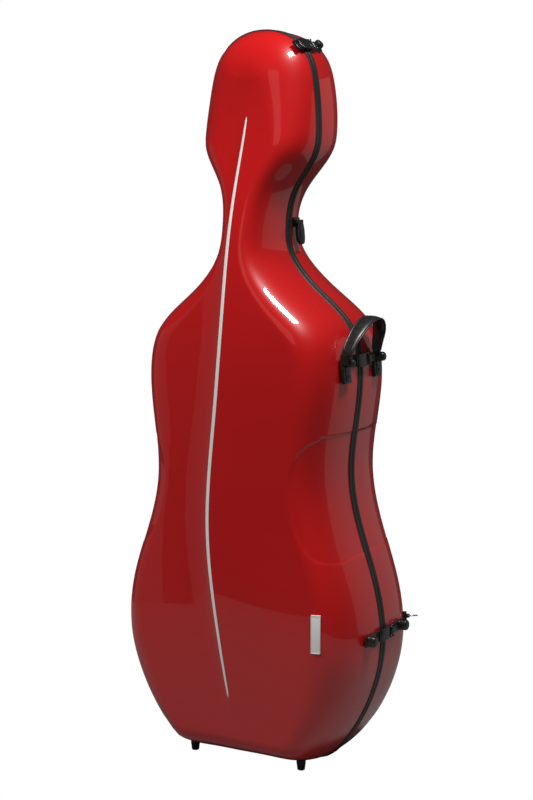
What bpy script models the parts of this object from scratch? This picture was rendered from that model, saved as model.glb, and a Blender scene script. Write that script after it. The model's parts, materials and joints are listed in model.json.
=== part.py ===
"""Full-size cello case: two hollow shells hinged on the left edge, with latches, handles and feet.

Metres, +Z up.  The front (lid) faces -Y.  The feet stand on Z = 0.  The viewer's right is +X.
"""
import math

import bmesh
import bpy
import numpy as np

for old in list(bpy.data.objects):
    bpy.data.objects.remove(old)

# ---------------------------------------------------------------- sizes
PARTING_Y = 0.0140         # plane where the lid meets the body
WALL = 0.0035              # shell thickness
LINING_OUT = WALL + 0.0012
LINING_IN = LINING_OUT + 0.010
SEAL_HALF = 0.0108         # each seal strip covers this much of the side
SIDE_ROWS = 24             # rows of facets up each side
LEFT_PARTS = (0.0, 0.50, 0.86)
RIGHT_PARTS = (0.0, 0.16, 0.42, 0.72, 1.0)
COLUMNS = len(LEFT_PARTS) + len(RIGHT_PARTS) - 1
BOTTOM_CORNER_Z = 0.058
TOP_CORNER_Z = 1.290
INLAY_LOW = 0.142
INLAY_HIGH = 1.176
BADGE_AT = (0.1855, 0.2835)

# right half of the outline in the parting plane, from bottom centre to top centre
OUTLINE = [
    (0.0, 0.0045), (0.06, 0.0045), (0.110, 0.0050), (0.138, 0.0135), (0.159, 0.0335),
    (0.1835, 0.066), (0.216, 0.128), (0.2405, 0.232), (0.2245, 0.350), (0.1875, 0.467),
    (0.1755, 0.540), (0.1815, 0.620), (0.1915, 0.735), (0.1765, 0.800), (0.108, 0.8695),
    (0.0715, 0.9055), (0.050, 0.942), (0.0455, 0.980), (0.0595, 1.0475), (0.083, 1.084),
    (0.1025, 1.120), (0.1065, 1.165), (0.1015, 1.230), (0.081, 1.2935), (0.042, 1.3225),
    (0.0, 1.330),
]


def clamped_spline(knots, values, first_slope=0.0, last_slope=0.0):
    """Cubic spline through the values with a chosen slope at each end."""
    knots = np.array(knots, float)
    values = np.array(values, float)
    gap = np.diff(knots)
    count = len(knots)
    matrix = np.eye(count)
    right = np.zeros(count)
    right[0] = first_slope
    right[-1] = last_slope
    for i in range(1, count - 1):
        matrix[i, i - 1] = 1 / gap[i - 1]
        matrix[i, i] = 2 / gap[i - 1] + 2 / gap[i]
        matrix[i, i + 1] = 1 / gap[i]
        before = (values[i] - values[i - 1]) / gap[i - 1] ** 2
        after = (values[i + 1] - values[i]) / gap[i] ** 2
        right[i] = 3 * (before + after)
    slope = np.linalg.solve(matrix, right)

    def value(x):
        x = np.clip(x, knots[0], knots[-1])
        i = np.clip(np.searchsorted(knots, x, side="right") - 1, 0, count - 2)
        h = gap[i]
        u = (x - knots[i]) / h
        start = (2 * u**3 - 3 * u**2 + 1) * values[i] + (u**3 - 2 * u**2 + u) * h * slope[i]
        end = (3 * u**2 - 2 * u**3) * values[i + 1] + (u**3 - u**2) * h * slope[i + 1]
        return start + end

    return value


FRONT = {
    "depth": clamped_spline([0.0, 0.15, 0.5, 0.8, 0.98, 1.15, 1.33],
                            [0.128, 0.146, 0.147, 0.140, 0.112, 0.076, 0.066]),
    "corner": clamped_spline([0.0, 0.15, 0.35, 0.5, 0.65, 0.8, 0.98, 1.15, 1.33],
                             [0.050, 0.075, 0.055, 0.056, 0.060, 0.060, 0.034, 0.058, 0.084]),
    "power": clamped_spline([0.0, 0.98, 1.15, 1.33], [2.5, 2.5, 2.3, 2.1]),
    "side": -1,
}
BACK = {
    "depth": clamped_spline([0.0, 0.15, 0.5, 0.8, 0.90, 1.0, 1.08, 1.2, 1.33],
                            [0.142, 0.142, 0.136, 0.130, 0.094, 0.055, 0.085, 0.112, 0.102]),
    "corner": clamped_spline([0.0, 0.15, 0.5, 0.8, 0.98, 1.15, 1.33],
                             [0.034, 0.045, 0.050, 0.050, 0.028, 0.044, 0.042]),
    "power": clamped_spline([0.0, 1.33], [3.0, 3.0]),
    "side": 1,
}


def lean(shell, z):
    """How much the lid's walls slope inward, away from the seam, at the foot and the crown."""
    if shell["side"] > 0:
        return 0.0
    low = max(0.0, 1 - z / 0.24)
    high = max(0.0, (z - 1.12) / 0.21)
    return 0.10 * low * low + 0.10 * high * high


# the ridge line down the lid and how far it stands above the left panel
ridge_x = clamped_spline([0.0, 0.14, 0.30, 0.46, 0.65, 0.85, 1.05, 1.18, 1.33],
                         [0.012, 0.0065, -0.0100, -0.0270, -0.0155, -0.0050, -0.0040, 0.0048, 0.0120])
ridge_rise = clamped_spline([0.0, 0.14, 0.30, 0.60, 0.90, 1.06, 1.22, 1.33],
                            [0.0, 0.003, 0.013, 0.014, 0.010, 0.007, 0.002, 0.0])


def depth_at(shell, x, z):
    """Depth of the shell's face at one place, measured from the parting plane."""
    depth = shell["depth"](z) + 0.004 * (1 - (x / 0.2) ** 2)
    if shell["side"] < 0:
        across = x - ridge_x(z)
        flank = np.exp(np.minimum(across, 0) / 0.014)
        swell = np.exp(-(np.maximum(across, 0) / 0.13) ** 2)
        depth = depth + ridge_rise(z) * flank * swell
    return depth


# ---------------------------------------------------------------- outline
lengths = np.hypot(*np.diff(np.array(OUTLINE), axis=0).T)
knots = np.concatenate([[0], np.cumsum(lengths)])
curve_x = clamped_spline(knots, [p[0] for p in OUTLINE], 1.0, -1.0)
curve_z = clamped_spline(knots, [p[1] for p in OUTLINE], 0.0, 0.0)
fine = np.linspace(0, knots[-1], 4001)
fine_x = curve_x(fine)
fine_z = curve_z(fine)
tangent_x = np.gradient(fine_x, fine)
tangent_z = np.gradient(fine_z, fine)
speed = np.hypot(tangent_x, tangent_z)
tangent_x = tangent_x / speed
tangent_z = tangent_z / speed


def at_length(along):
    """Point and inward normal on the right half, by distance along the curve."""
    x = np.interp(along, fine, fine_x)
    z = np.interp(along, fine, fine_z)
    tx = np.interp(along, fine, tangent_x)
    tz = np.interp(along, fine, tangent_z)
    return x, z, -tz, tx


def columns_between(left, right, middle):
    """Places of the facet columns between two sides, with one on the ridge line."""
    xs = [left + (middle - left) * part for part in LEFT_PARTS]
    xs += [middle + (right - middle) * part for part in RIGHT_PARTS]
    return np.array(xs)


def side_lengths():
    """Distances along the right side, closer together where it bends."""
    turn = np.abs(np.gradient(np.unwrap(np.arctan2(tangent_z, tangent_x)), fine))
    weight = 1 + 0.10 * turn
    low = fine[np.argmax(fine_z > BOTTOM_CORNER_Z)]
    high = fine[np.argmax(fine_z > TOP_CORNER_Z)]
    inside = (fine >= low) & (fine <= high)
    total = np.cumsum(weight[inside])
    wanted = np.linspace(total[0], total[-1], SIDE_ROWS + 1)
    return np.interp(wanted, total, fine[inside])


def outline_loop():
    """Points x, z and inward normals round the outline, starting at the lower left corner."""
    sides = side_lengths()
    corner_low = np.interp(sides[0], fine, fine_x)
    corner_high = np.interp(sides[-1], fine, fine_x)
    rows = []
    bottom_end = np.searchsorted(fine, sides[0])
    top_start = np.searchsorted(fine, sides[-1])
    for x in columns_between(-corner_low, corner_low, ridge_x(0.02)):
        along = np.interp(abs(x), fine_x[:bottom_end + 1], fine[:bottom_end + 1])
        px, pz, nx, nz = at_length(along)
        rows.append((math.copysign(px, x), pz, math.copysign(1, x) * nx, nz))
    for along in sides[1:]:
        rows.append(at_length(along))
    for x in columns_between(-corner_high, corner_high, ridge_x(1.32))[::-1][1:]:
        along = np.interp(-abs(x), -fine_x[top_start:], fine[top_start:])
        px, pz, nx, nz = at_length(along)
        rows.append((math.copysign(px, x), pz, math.copysign(1, x) * nx, nz))
    for along in sides[::-1][1:-1]:
        px, pz, nx, nz = at_length(along)
        rows.append((-px, pz, -nx, nz))
    return np.array(rows)


LOOP = outline_loop()
COUNT = len(LOOP)
ROUNDNESS = (0.012, 0.07, 0.22, 0.52, 1.0)   # steps from the side wall to the face


def curve_part(shell, step, z):
    """Share of the full depth reached one step of the way round the corner."""
    power = shell["power"](z)
    return (1 - (1 - step) ** power) ** (1 / power)


def ring(shell, inset, step, height=None):
    """One loop of the shell's surface, moved in by the inset."""
    points = []
    for x, z, nx, nz in LOOP:
        reach = inset + (shell["corner"](z) - inset) * step
        part = curve_part(shell, step, z)
        rough = height or (depth_at(shell, x + nx * reach, z + nz * reach) - inset) * part
        reach += lean(shell, z) * rough
        px = x + nx * reach
        pz = z + nz * reach
        deep = height or (depth_at(shell, px, pz) - inset) * part
        points.append((px, PARTING_Y + shell["side"] * deep, pz))
    return points


def surface(shell, inset, rim_height):
    """Vertices and triangles of one skin of the shell, from its rim to its face."""
    verts = ring(shell, inset, 0.0, rim_height)
    for step in ROUNDNESS:
        verts += ring(shell, inset, step)
    tris = []
    for band in range(len(ROUNDNESS)):
        low = band * COUNT
        high = low + COUNT
        for i in range(COUNT):
            j = (i + 1) % COUNT
            tris.append((low + i, low + j, high + j))
            tris.append((low + i, high + j, high + i))
    edge = len(ROUNDNESS) * COUNT
    grid = {}
    for i in range(COLUMNS + 1):
        grid[i, 0] = edge + i
        grid[i, SIDE_ROWS] = edge + COLUMNS + SIDE_ROWS + COLUMNS - i
    for j in range(1, SIDE_ROWS):
        grid[COLUMNS, j] = edge + COLUMNS + j
        grid[0, j] = edge + COUNT - j
    low_z = verts[grid[0, 0]][2]
    high_z = verts[grid[0, SIDE_ROWS]][2]
    for j in range(1, SIDE_ROWS):
        left = verts[grid[0, j]]
        right = verts[grid[COLUMNS, j]]
        part = (left[2] - low_z) / (high_z - low_z)
        xs = columns_between(left[0], right[0], ridge_x(left[2]))
        for i in range(1, COLUMNS):
            sag = (verts[grid[i, 0]][2] - low_z) * (1 - part)
            lift = (verts[grid[i, SIDE_ROWS]][2] - high_z) * part
            z = left[2] + sag + lift
            deep = depth_at(shell, xs[i], z) - inset
            grid[i, j] = len(verts)
            verts.append((xs[i], PARTING_Y + shell["side"] * deep, z))
    for i in range(COLUMNS):
        for j in range(SIDE_ROWS):
            a, b, c, d = grid[i, j], grid[i + 1, j], grid[i + 1, j + 1], grid[i, j + 1]
            tris.append((a, b, c))
            tris.append((a, c, d))
    return verts, tris


class Frame:
    """A place to build at: an origin and three unit directions."""

    def __init__(self, origin, u, v, w):
        self.origin = np.array(origin, float)
        self.axes = [np.array(a, float) / np.linalg.norm(a) for a in (u, v, w)]

    def point(self, a, b, c):
        return tuple(self.origin + a * self.axes[0] + b * self.axes[1] + c * self.axes[2])


def skin_depth(shell, x, z):
    """Depth of the shell's outer skin at any place, its rounded edge included."""
    away = np.hypot(fine_x - abs(x), fine_z - z)
    nearest = np.argmin(away)
    step = min(1.0, away[nearest] / float(shell["corner"](fine_z[nearest])))
    return float(depth_at(shell, x, z)) * curve_part(shell, step, z)


def skin_frame(shell, x, z, spread=0.006):
    """Frame on the outer skin: sideways, up, and straight out of the surface."""
    across_slope = (skin_depth(shell, x + spread, z) - skin_depth(shell, x - spread, z)) / (2 * spread)
    up_slope = (skin_depth(shell, x, z + spread) - skin_depth(shell, x, z - spread)) / (2 * spread)
    side = shell["side"]
    sideways = np.array([1, side * across_slope, 0])
    sideways /= np.linalg.norm(sideways)
    upward = np.array([0, side * up_slope, 1])
    out = side * np.cross(upward, sideways)
    out /= np.linalg.norm(out)
    upward = np.cross(out, sideways)
    upward *= math.copysign(1, upward[2])
    return Frame((x, PARTING_Y + side * skin_depth(shell, x, z), z), sideways, upward, out)


# ---------------------------------------------------------------- materials and objects
COLOURS = {
    "gloss_red": ((0.50, 0.012, 0.014), 0.0, 0.12),
    "seal_black": ((0.025, 0.027, 0.027), 0.0, 0.55),
    "fitting_black": ((0.015, 0.015, 0.016), 0.0, 0.25),
    "foot_rubber": ((0.02, 0.02, 0.02), 0.0, 0.7),
    "silver_trim": ((0.62, 0.64, 0.64), 1.0, 0.35),
    "steel": ((0.60, 0.60, 0.60), 1.0, 0.25),
    "leather_black": ((0.02, 0.02, 0.02), 0.0, 0.45),
    "lining_cloth": ((0.05, 0.05, 0.055), 0.0, 0.95),
}


def material(name, node):
    made = bpy.data.materials.new(node + "_" + name)
    made.use_nodes = True
    colour, metal, rough = COLOURS[name]
    shader = made.node_tree.nodes["Principled BSDF"]
    shader.inputs["Base Color"].default_value = (*colour, 1)
    shader.inputs["Metallic"].default_value = metal
    shader.inputs["Roughness"].default_value = rough
    return made


def add(name, verts, faces, look, origin=(0, 0, 0)):
    """One closed object whose own origin is where it turns."""
    mesh = bpy.data.meshes.new(name)
    moved = [tuple(np.array(v, float) - np.array(origin, float)) for v in verts]
    mesh.from_pydata(moved, [], [tuple(int(i) for i in f) for f in faces])
    work = bmesh.new()
    work.from_mesh(mesh)
    bmesh.ops.recalc_face_normals(work, faces=work.faces)
    if work.calc_volume(signed=True) < 0:
        bmesh.ops.reverse_faces(work, faces=work.faces)
    work.to_mesh(mesh)
    work.free()
    mesh.materials.append(material(look, name))
    made = bpy.data.objects.new(name, mesh)
    made.location = origin
    bpy.context.scene.collection.objects.link(made)
    return made


def prism(frame, profile, low, high):
    """A flat outline in the frame's first two directions, run along the third."""
    verts = [frame.point(a, b, low) for a, b in profile]
    verts += [frame.point(a, b, high) for a, b in profile]
    n = len(profile)
    faces = [tuple(range(n)), tuple(range(2 * n - 1, n - 1, -1))]
    faces += [(i, (i + 1) % n, n + (i + 1) % n, n + i) for i in range(n)]
    return verts, faces


def box(frame, a, b, c):
    return prism(frame, [(a[0], b[0]), (a[1], b[0]), (a[1], b[1]), (a[0], b[1])], c[0], c[1])


def turned(frame, centre, rings, sides=16):
    """A round piece about the third direction; rings are (radius, height)."""
    verts = []
    for radius, height in rings:
        for k in range(sides):
            angle = 2 * math.pi * (k + 0.5) / sides
            a = centre[0] + radius * math.cos(angle)
            b = centre[1] + radius * math.sin(angle)
            verts.append(frame.point(a, b, height))
    faces = [tuple(range(sides))]
    top = (len(rings) - 1) * sides
    faces.append(tuple(range(top + sides - 1, top - 1, -1)))
    for r in range(len(rings) - 1):
        for k in range(sides):
            m = (k + 1) % sides
            s = r * sides
            faces.append((s + k, s + m, s + sides + m, s + sides + k))
    return verts, faces


def combine(name, base, others, look, origin=(0, 0, 0)):
    """Join or cut solids; others are (operation, verts, faces)."""
    made = add(name, *base, look, origin)
    helpers = []
    for number, (operation, verts, faces) in enumerate(others):
        helper = add("%s_tool_%d" % (name, number), verts, faces, look)
        modifier = made.modifiers.new("step", "BOOLEAN")
        modifier.operation = operation
        modifier.solver = "EXACT"
        modifier.object = helper
        helpers.append(helper)
    bpy.context.view_layer.update()
    shape = made.evaluated_get(bpy.context.evaluated_depsgraph_get())
    mesh = bpy.data.meshes.new_from_object(shape)
    made.modifiers.clear()
    looks = made.data.materials[0]
    made.data = mesh
    mesh.materials.clear()
    mesh.materials.append(looks)
    for face in mesh.polygons:
        face.material_index = 0
    work = bmesh.new()
    work.from_mesh(mesh)
    bmesh.ops.dissolve_degenerate(work, edges=work.edges, dist=1e-6)
    bmesh.ops.triangulate(work, faces=work.faces)
    work.to_mesh(mesh)
    work.free()
    for helper in helpers:
        bpy.data.objects.remove(helper)
    return made


# ---------------------------------------------------------------- shells, linings and seals
def hollow(name, shell, outer_inset, inner_inset, rim, look):
    outer, tris = surface(shell, outer_inset, rim)
    inner, _ = surface(shell, inner_inset, rim)
    shift = len(outer)
    faces = list(tris) + [(a + shift, c + shift, b + shift) for a, b, c in tris]
    for i in range(COUNT):
        j = (i + 1) % COUNT
        faces.append((i, shift + i, shift + j))
        faces.append((i, shift + j, j))
    return add(name, outer + inner, faces, look)


RIM = SEAL_HALF + 0.0004
hollow("front_shell", FRONT, 0.0, WALL, RIM, "gloss_red")
hollow("back_shell", BACK, 0.0, WALL, RIM, "gloss_red")
hollow("lid_lining", FRONT, LINING_OUT, LINING_IN, RIM, "lining_cloth")
hollow("body_lining", BACK, LINING_OUT, LINING_IN, RIM, "lining_cloth")


def seal(name, side):
    """A rubber strip round the whole edge; offsets are outward from the outline, then along Y."""
    section = [(-0.0065, 0.0003), (0.0008, 0.0003), (0.0015, SEAL_HALF / 2),
               (0.0008, SEAL_HALF), (-0.0065, SEAL_HALF)]
    verts = []
    for x, z, nx, nz in LOOP:
        for out, along in section:
            verts.append((x - nx * out, PARTING_Y + side * along, z - nz * out))
    n = len(section)
    faces = []
    for i in range(COUNT):
        j = (i + 1) % COUNT
        for k in range(n):
            m = (k + 1) % n
            faces.append((i * n + k, j * n + k, j * n + m, i * n + m))
    return add(name, verts, faces, "seal_black")


seal("lid_seal", -1)
seal("body_seal", 1)


def ridge_inlay():
    """Silver strip lying on the ridge line, pointed at both ends."""
    zs = np.linspace(INLAY_LOW, INLAY_HIGH, 25)
    verts = []
    for k, z in enumerate(zs):
        part = k / (len(zs) - 1)
        half = 0.0003 + 0.0040 * math.sin(math.pi * part) ** 0.30
        x = ridge_x(z)
        near = PARTING_Y - depth_at(FRONT, x, z) - 0.0024
        for a, b in ((-half, 0.0), (half, 0.0), (half, -0.0009), (-half, -0.0009)):
            verts.append((x + a, near + b, z))
    faces = [(0, 1, 2, 3), tuple(range(len(verts) - 1, len(verts) - 5, -1))]
    for k in range(len(zs) - 1):
        for m in range(4):
            p = (m + 1) % 4
            faces.append((4 * k + m, 4 * k + p, 4 * k + 4 + p, 4 * k + 4 + m))
    add("ridge_inlay", verts, faces, "silver_trim")


ridge_inlay()


def badge_plate():
    """Blank raised plate low on the right of the lid."""
    spot = skin_frame(FRONT, *BADGE_AT)
    add("badge_plate", *box(spot, (-0.0085, 0.0085), (-0.0345, 0.0345), (0.0008, 0.0028)), "silver_trim")


badge_plate()

# ---------------------------------------------------------------- hinges on the left edge
HINGE_LOW = np.array([-0.2469, 0.275])
HINGE_HIGH = np.array([-0.1980, 0.749])
HINGE_SPOTS = {"lower": 0.240, "middle": 0.312, "upper": 0.749}
hinge_line = (HINGE_HIGH - HINGE_LOW) / np.linalg.norm(HINGE_HIGH - HINGE_LOW)


def hinge_frame(z):
    part = (z - HINGE_LOW[1]) / hinge_line[1]
    x, z = HINGE_LOW + hinge_line * part
    along = (hinge_line[0], 0, hinge_line[1])
    out = (-hinge_line[1], 0, hinge_line[0])
    return Frame((x, PARTING_Y, z), (0, 1, 0), out, along)


def wall_distance(z, half):
    """Least distance from the pin's line to the outline, within half a span of one height."""
    away = np.stack([-fine_x - HINGE_LOW[0], fine_z - HINGE_LOW[1]], axis=1)
    distance = away @ np.array([hinge_line[1], -hinge_line[0]])
    return float(np.min(distance[np.abs(fine_z - z) < half]))


def hinge_leaf(name, frame, side, spans, skin):
    """Leaf with a rolled eye; skin is how far below the pin the shell's wall lies."""
    eye = 0.0042
    profile = [(side * 0.036, -skin), (side * 0.0116, -skin), (side * 0.0116, -0.0050)]
    for angle in np.radians(np.arange(-50, -300, -30)):
        profile.append((side * eye * math.cos(angle), eye * math.sin(angle)))
    profile += [(side * 0.0140, -0.0012), (side * 0.036, 0.0022 - skin)]
    low = min(s[0] for s in spans)
    high = max(s[1] for s in spans)
    steps = [("DIFFERENCE", *turned(frame, (0, 0), [(0.0017, low - 0.01), (0.0017, high + 0.01)]))]
    for start, end in zip([s[1] for s in spans[:-1]], [s[0] for s in spans[1:]]):
        steps.append(("DIFFERENCE", *box(frame, (-0.0100, 0.0100), (-0.009, 0.009), (start, end))))
    combine(name, prism(frame, profile, low, high), steps, "fitting_black")


for word, z in HINGE_SPOTS.items():
    spot = hinge_frame(z)
    skin = wall_distance(z, 0.026) - 0.0004
    hinge_leaf("hinge_lid_leaf_" + word, spot, -1, [(-0.0080, 0.0080)], skin)
    hinge_leaf("hinge_body_leaf_" + word, spot, 1, [(-0.0220, -0.0084), (0.0084, 0.0220)], skin)
    add("hinge_pin_" + word, *turned(spot, (0, 0), [(0.0016, -0.0225), (0.0016, 0.0225)], 12), "steel")


# ---------------------------------------------------------------- latches on the right edge
def edge_frame(z):
    """Frame on the right edge at one height: Y, outward, then up along the edge."""
    along = np.interp(z, fine_z[np.argmax(fine_z > 0.05):], fine[np.argmax(fine_z > 0.05):])
    x, z, nx, nz = at_length(along)
    return Frame((x, PARTING_Y, z), (0, 1, 0), (-nx, 0, -nz), (nz, 0, -nx))


def boss_rings(radius, reach):
    return [(radius, 0.0026), (radius * 0.97, reach * 0.80), (radius * 0.82, reach * 0.96),
            (radius * 0.55, reach)]


def across(frame, y):
    """Frame for round pieces that stand out from the edge."""
    u, v, w = frame.axes
    return Frame(frame.point(y, 0, 0), u, w, v)


PIVOT = (0.0210, 0.0064)
LINK_PIVOT = (0.0275, 0.0064)


def latch(word, z, front_end, rear_end, tip, front_boss=None, rear_boss=None):
    """Over-centre catch: keeper on the lid; base, pin, lever and link on the body.

    Places run along Y from the seam; tip is the end of the lever.
    """
    frame = edge_frame(z)
    low = 0.0003
    # keeper: plate, grip ribs and the wall that stops the link
    profile = [(front_end, low), (-0.0122, low), (-0.0122, 0.0032), (-0.0212, 0.0032),
               (-0.0212, 0.0070), (-0.0236, 0.0070), (-0.0250, 0.0032), (-0.0270, 0.0032),
               (-0.0278, 0.0048), (-0.0290, 0.0048), (-0.0298, 0.0032), (front_end, 0.0032)]
    steps = []
    if front_boss:
        steps.append(("UNION", *turned(across(frame, front_boss), (0, 0), boss_rings(0.0104, 0.0170))))
    combine("latch_keeper_" + word, prism(frame, profile, -0.0095, 0.0095), steps, "fitting_black")
    # base: plate, two ears for the lever pin, and the rear boss
    profile = [(0.0122, low), (rear_end, low), (rear_end, 0.0032), (0.0122, 0.0032)]
    ear = [(PIVOT[0] + 0.0042 * math.cos(a), PIVOT[1] + 0.0042 * math.sin(a))
           for a in np.radians([0, 30, 60, 90, 120, 150, 180])]
    ear = [(PIVOT[0] - 0.0042, 0.0012), (PIVOT[0] + 0.0042, 0.0012)] + ear
    steps = [("UNION", *prism(frame, ear, -0.0090, -0.0063)), ("UNION", *prism(frame, ear, 0.0063, 0.0090))]
    if rear_boss:
        steps.append(("UNION", *turned(across(frame, rear_boss[0]), (0, 0), boss_rings(*rear_boss[1:]))))
    steps.append(("DIFFERENCE", *turned(frame, PIVOT, [(0.0017, -0.02), (0.0017, 0.02)])))
    combine("latch_base_" + word, prism(frame, profile, -0.0095, 0.0095), steps, "fitting_black")
    pin = frame.point(*PIVOT, 0)
    add("latch_pin_" + word, *turned(frame, PIVOT, [(0.0016, -0.0092), (0.0016, 0.0092)], 12), "steel")
    # lever: its nose is round about the pin so that it clears the base as it turns
    lever = [(tip - 0.0052, 0.0040), (tip - 0.0012, 0.0052), (tip, 0.0086), (tip - 0.0012, 0.0094),
             (tip - 0.0037, 0.0084), (tip - 0.0120, 0.0098), (0.0205, 0.0100)]
    for angle in np.radians([150, 180, 210, 240, 270]):
        lever.append((PIVOT[0] + 0.0029 * math.cos(angle), PIVOT[1] + 0.0029 * math.sin(angle)))
    steps = [("UNION", *turned(frame, LINK_PIVOT, [(0.0013, -0.0118), (0.0013, 0.0118)])),
             ("DIFFERENCE", *turned(frame, PIVOT, [(0.0017, -0.02), (0.0017, 0.02)]))]
    combine("latch_lever_" + word, prism(frame, lever, -0.0058, 0.0058), steps, "fitting_black", pin)
    # link: cover over the seam, two arms with eyes, and the bar that rests in the keeper
    cover = [(-0.0204, 0.0037), (-0.0176, 0.0037), (-0.0168, 0.0060), (0.0140, 0.0060),
             (0.0140, 0.0080), (-0.0150, 0.0086), (-0.0204, 0.0074)]
    arm = [(0.0060, 0.0052), (0.0275, 0.0034), (0.0296, 0.0042), (0.0305, 0.0064),
           (0.0296, 0.0085), (0.0275, 0.0094), (0.0060, 0.0078)]
    steps = []
    for side in (-1, 1):
        ends = sorted((side * 0.0094, side * 0.0116))
        steps.append(("UNION", *prism(frame, arm, *ends)))
    steps.append(("DIFFERENCE", *turned(frame, LINK_PIVOT, [(0.0014, -0.02), (0.0014, 0.02)])))
    combine("latch_link_" + word, prism(frame, cover, -0.0116, 0.0116), steps, "fitting_black",
            frame.point(*LINK_PIVOT, 0))


latch("head", 1.300, -0.0325, 0.0560, 0.0335, rear_boss=(0.0455, 0.0090, 0.0135))
latch("handle", 0.749, -0.0465, 0.0446, 0.0430)
latch("lower", 0.256, -0.0720, 0.0810, 0.0452, front_boss=-0.0605, rear_boss=(0.0695, 0.0104, 0.0175))

# ---------------------------------------------------------------- side handle
handle_spot = edge_frame(0.749)
GRIP_OUT = 0.0110       # the handle turns about a line this far off the edge
GRIP_UP = 0.0125        # and this far above the middle of the bosses
GRIP_LEAN = math.radians(12)
LEG_HALF = 0.0140


def handle_bracket(name, y_boss, radius, cheek, toward):
    """Leg plate on the wall, round boss, and a cheek whose pin points at the seam."""
    frame = handle_spot
    leg = box(frame, (y_boss - LEG_HALF, y_boss + LEG_HALF), (0.0003, 0.0048), (-0.0355, 0.0040))
    boss = turned(across(frame, y_boss), (0, 0), boss_rings(radius, 0.0207))
    lug = box(frame, sorted((cheek, cheek - toward * 0.0022)), (0.0012, 0.0150), (-0.0020, 0.0172))
    hub = Frame(frame.point(cheek, GRIP_OUT, GRIP_UP), frame.axes[1], frame.axes[2], frame.axes[0])
    reach = sorted((-toward * 0.0010, toward * 0.0046))
    pin = [(0.0024, reach[0]), (0.0024, reach[1])]
    steps = [("UNION", *boss), ("UNION", *lug), ("UNION", *turned(hub, (0, 0), pin))]
    combine(name, leg, steps, "fitting_black")


handle_bracket("handle_bracket_front", -0.0610, 0.0070, -0.0743, 1)
handle_bracket("handle_bracket_rear", 0.0610, 0.0088, 0.0505, -1)


def smooth_path(points, count):
    """Even steps along a spline through the points."""
    points = np.array(points, float)
    steps = np.concatenate([[0], np.cumsum(np.hypot(*np.diff(points, axis=0).T))])
    first = (points[1] - points[0]) / steps[1]
    last = (points[-1] - points[-2]) / (steps[-1] - steps[-2])
    even = np.linspace(0, steps[-1], count)
    us = clamped_spline(steps, points[:, 0], first[0], last[0])(even)
    vs = clamped_spline(steps, points[:, 1], first[1], last[1])(even)
    return np.stack([us, vs], axis=1)


STRAP_PATH = [(-0.0715, 0.0080), (-0.0715, 0.0125), (-0.0702, 0.0200), (-0.0630, 0.0300),
              (-0.0490, 0.0440), (-0.0310, 0.0580), (-0.0080, 0.0700), (0.0140, 0.0745),
              (0.0340, 0.0712), (0.0460, 0.0610), (0.0508, 0.0470), (0.0490, 0.0340),
              (0.0476, 0.0230), (0.0475, 0.0125), (0.0475, 0.0080)]
STRAP_THICK = 0.0044


def strap_width(part):
    """Half width along the strap: narrow at the pins, wide where the hand goes."""
    return 0.0088 + 0.0068 * max(0.0, math.sin(math.pi * part))


def side_handle():
    """Leather strap that stands up in an arch and turns outward about its two pins."""
    base = handle_spot
    turn_point = base.point(0, GRIP_OUT, GRIP_UP)
    up = np.array(base.axes[2]) * math.cos(GRIP_LEAN) + np.array(base.axes[1]) * math.sin(GRIP_LEAN)
    wide = np.array(base.axes[1]) * math.cos(GRIP_LEAN) - np.array(base.axes[2]) * math.sin(GRIP_LEAN)
    frame = Frame(turn_point, base.axes[0], up, wide)
    path = smooth_path(STRAP_PATH, 30)
    tangent = np.gradient(path, axis=0)
    tangent /= np.linalg.norm(tangent, axis=1)[:, None]
    normal = np.stack([-tangent[:, 1], tangent[:, 0]], axis=1) * STRAP_THICK / 2
    verts = []
    for k, (here, off) in enumerate(zip(path, normal)):
        half = strap_width(k / (len(path) - 1))
        for place, reach in ((here + off, -half), (here - off, -half), (here - off, half), (here + off, half)):
            verts.append(frame.point(place[0], place[1] - GRIP_UP, reach))
    faces = [(0, 1, 2, 3), tuple(range(len(verts) - 1, len(verts) - 5, -1))]
    for k in range(len(path) - 1):
        for m in range(4):
            p = (m + 1) % 4
            faces.append((4 * k + m, 4 * k + p, 4 * k + 4 + p, 4 * k + 4 + m))
    hub = Frame(turn_point, base.axes[1], base.axes[2], base.axes[0])
    steps = [("DIFFERENCE", *turned(hub, (0, 0), [(0.0029, -0.080), (0.0029, -0.065)])),
             ("DIFFERENCE", *turned(hub, (0, 0), [(0.0029, 0.042), (0.0029, 0.0530)]))]
    combine("side_handle", (verts, faces), steps, "leather_black", turn_point)


side_handle()


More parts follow.
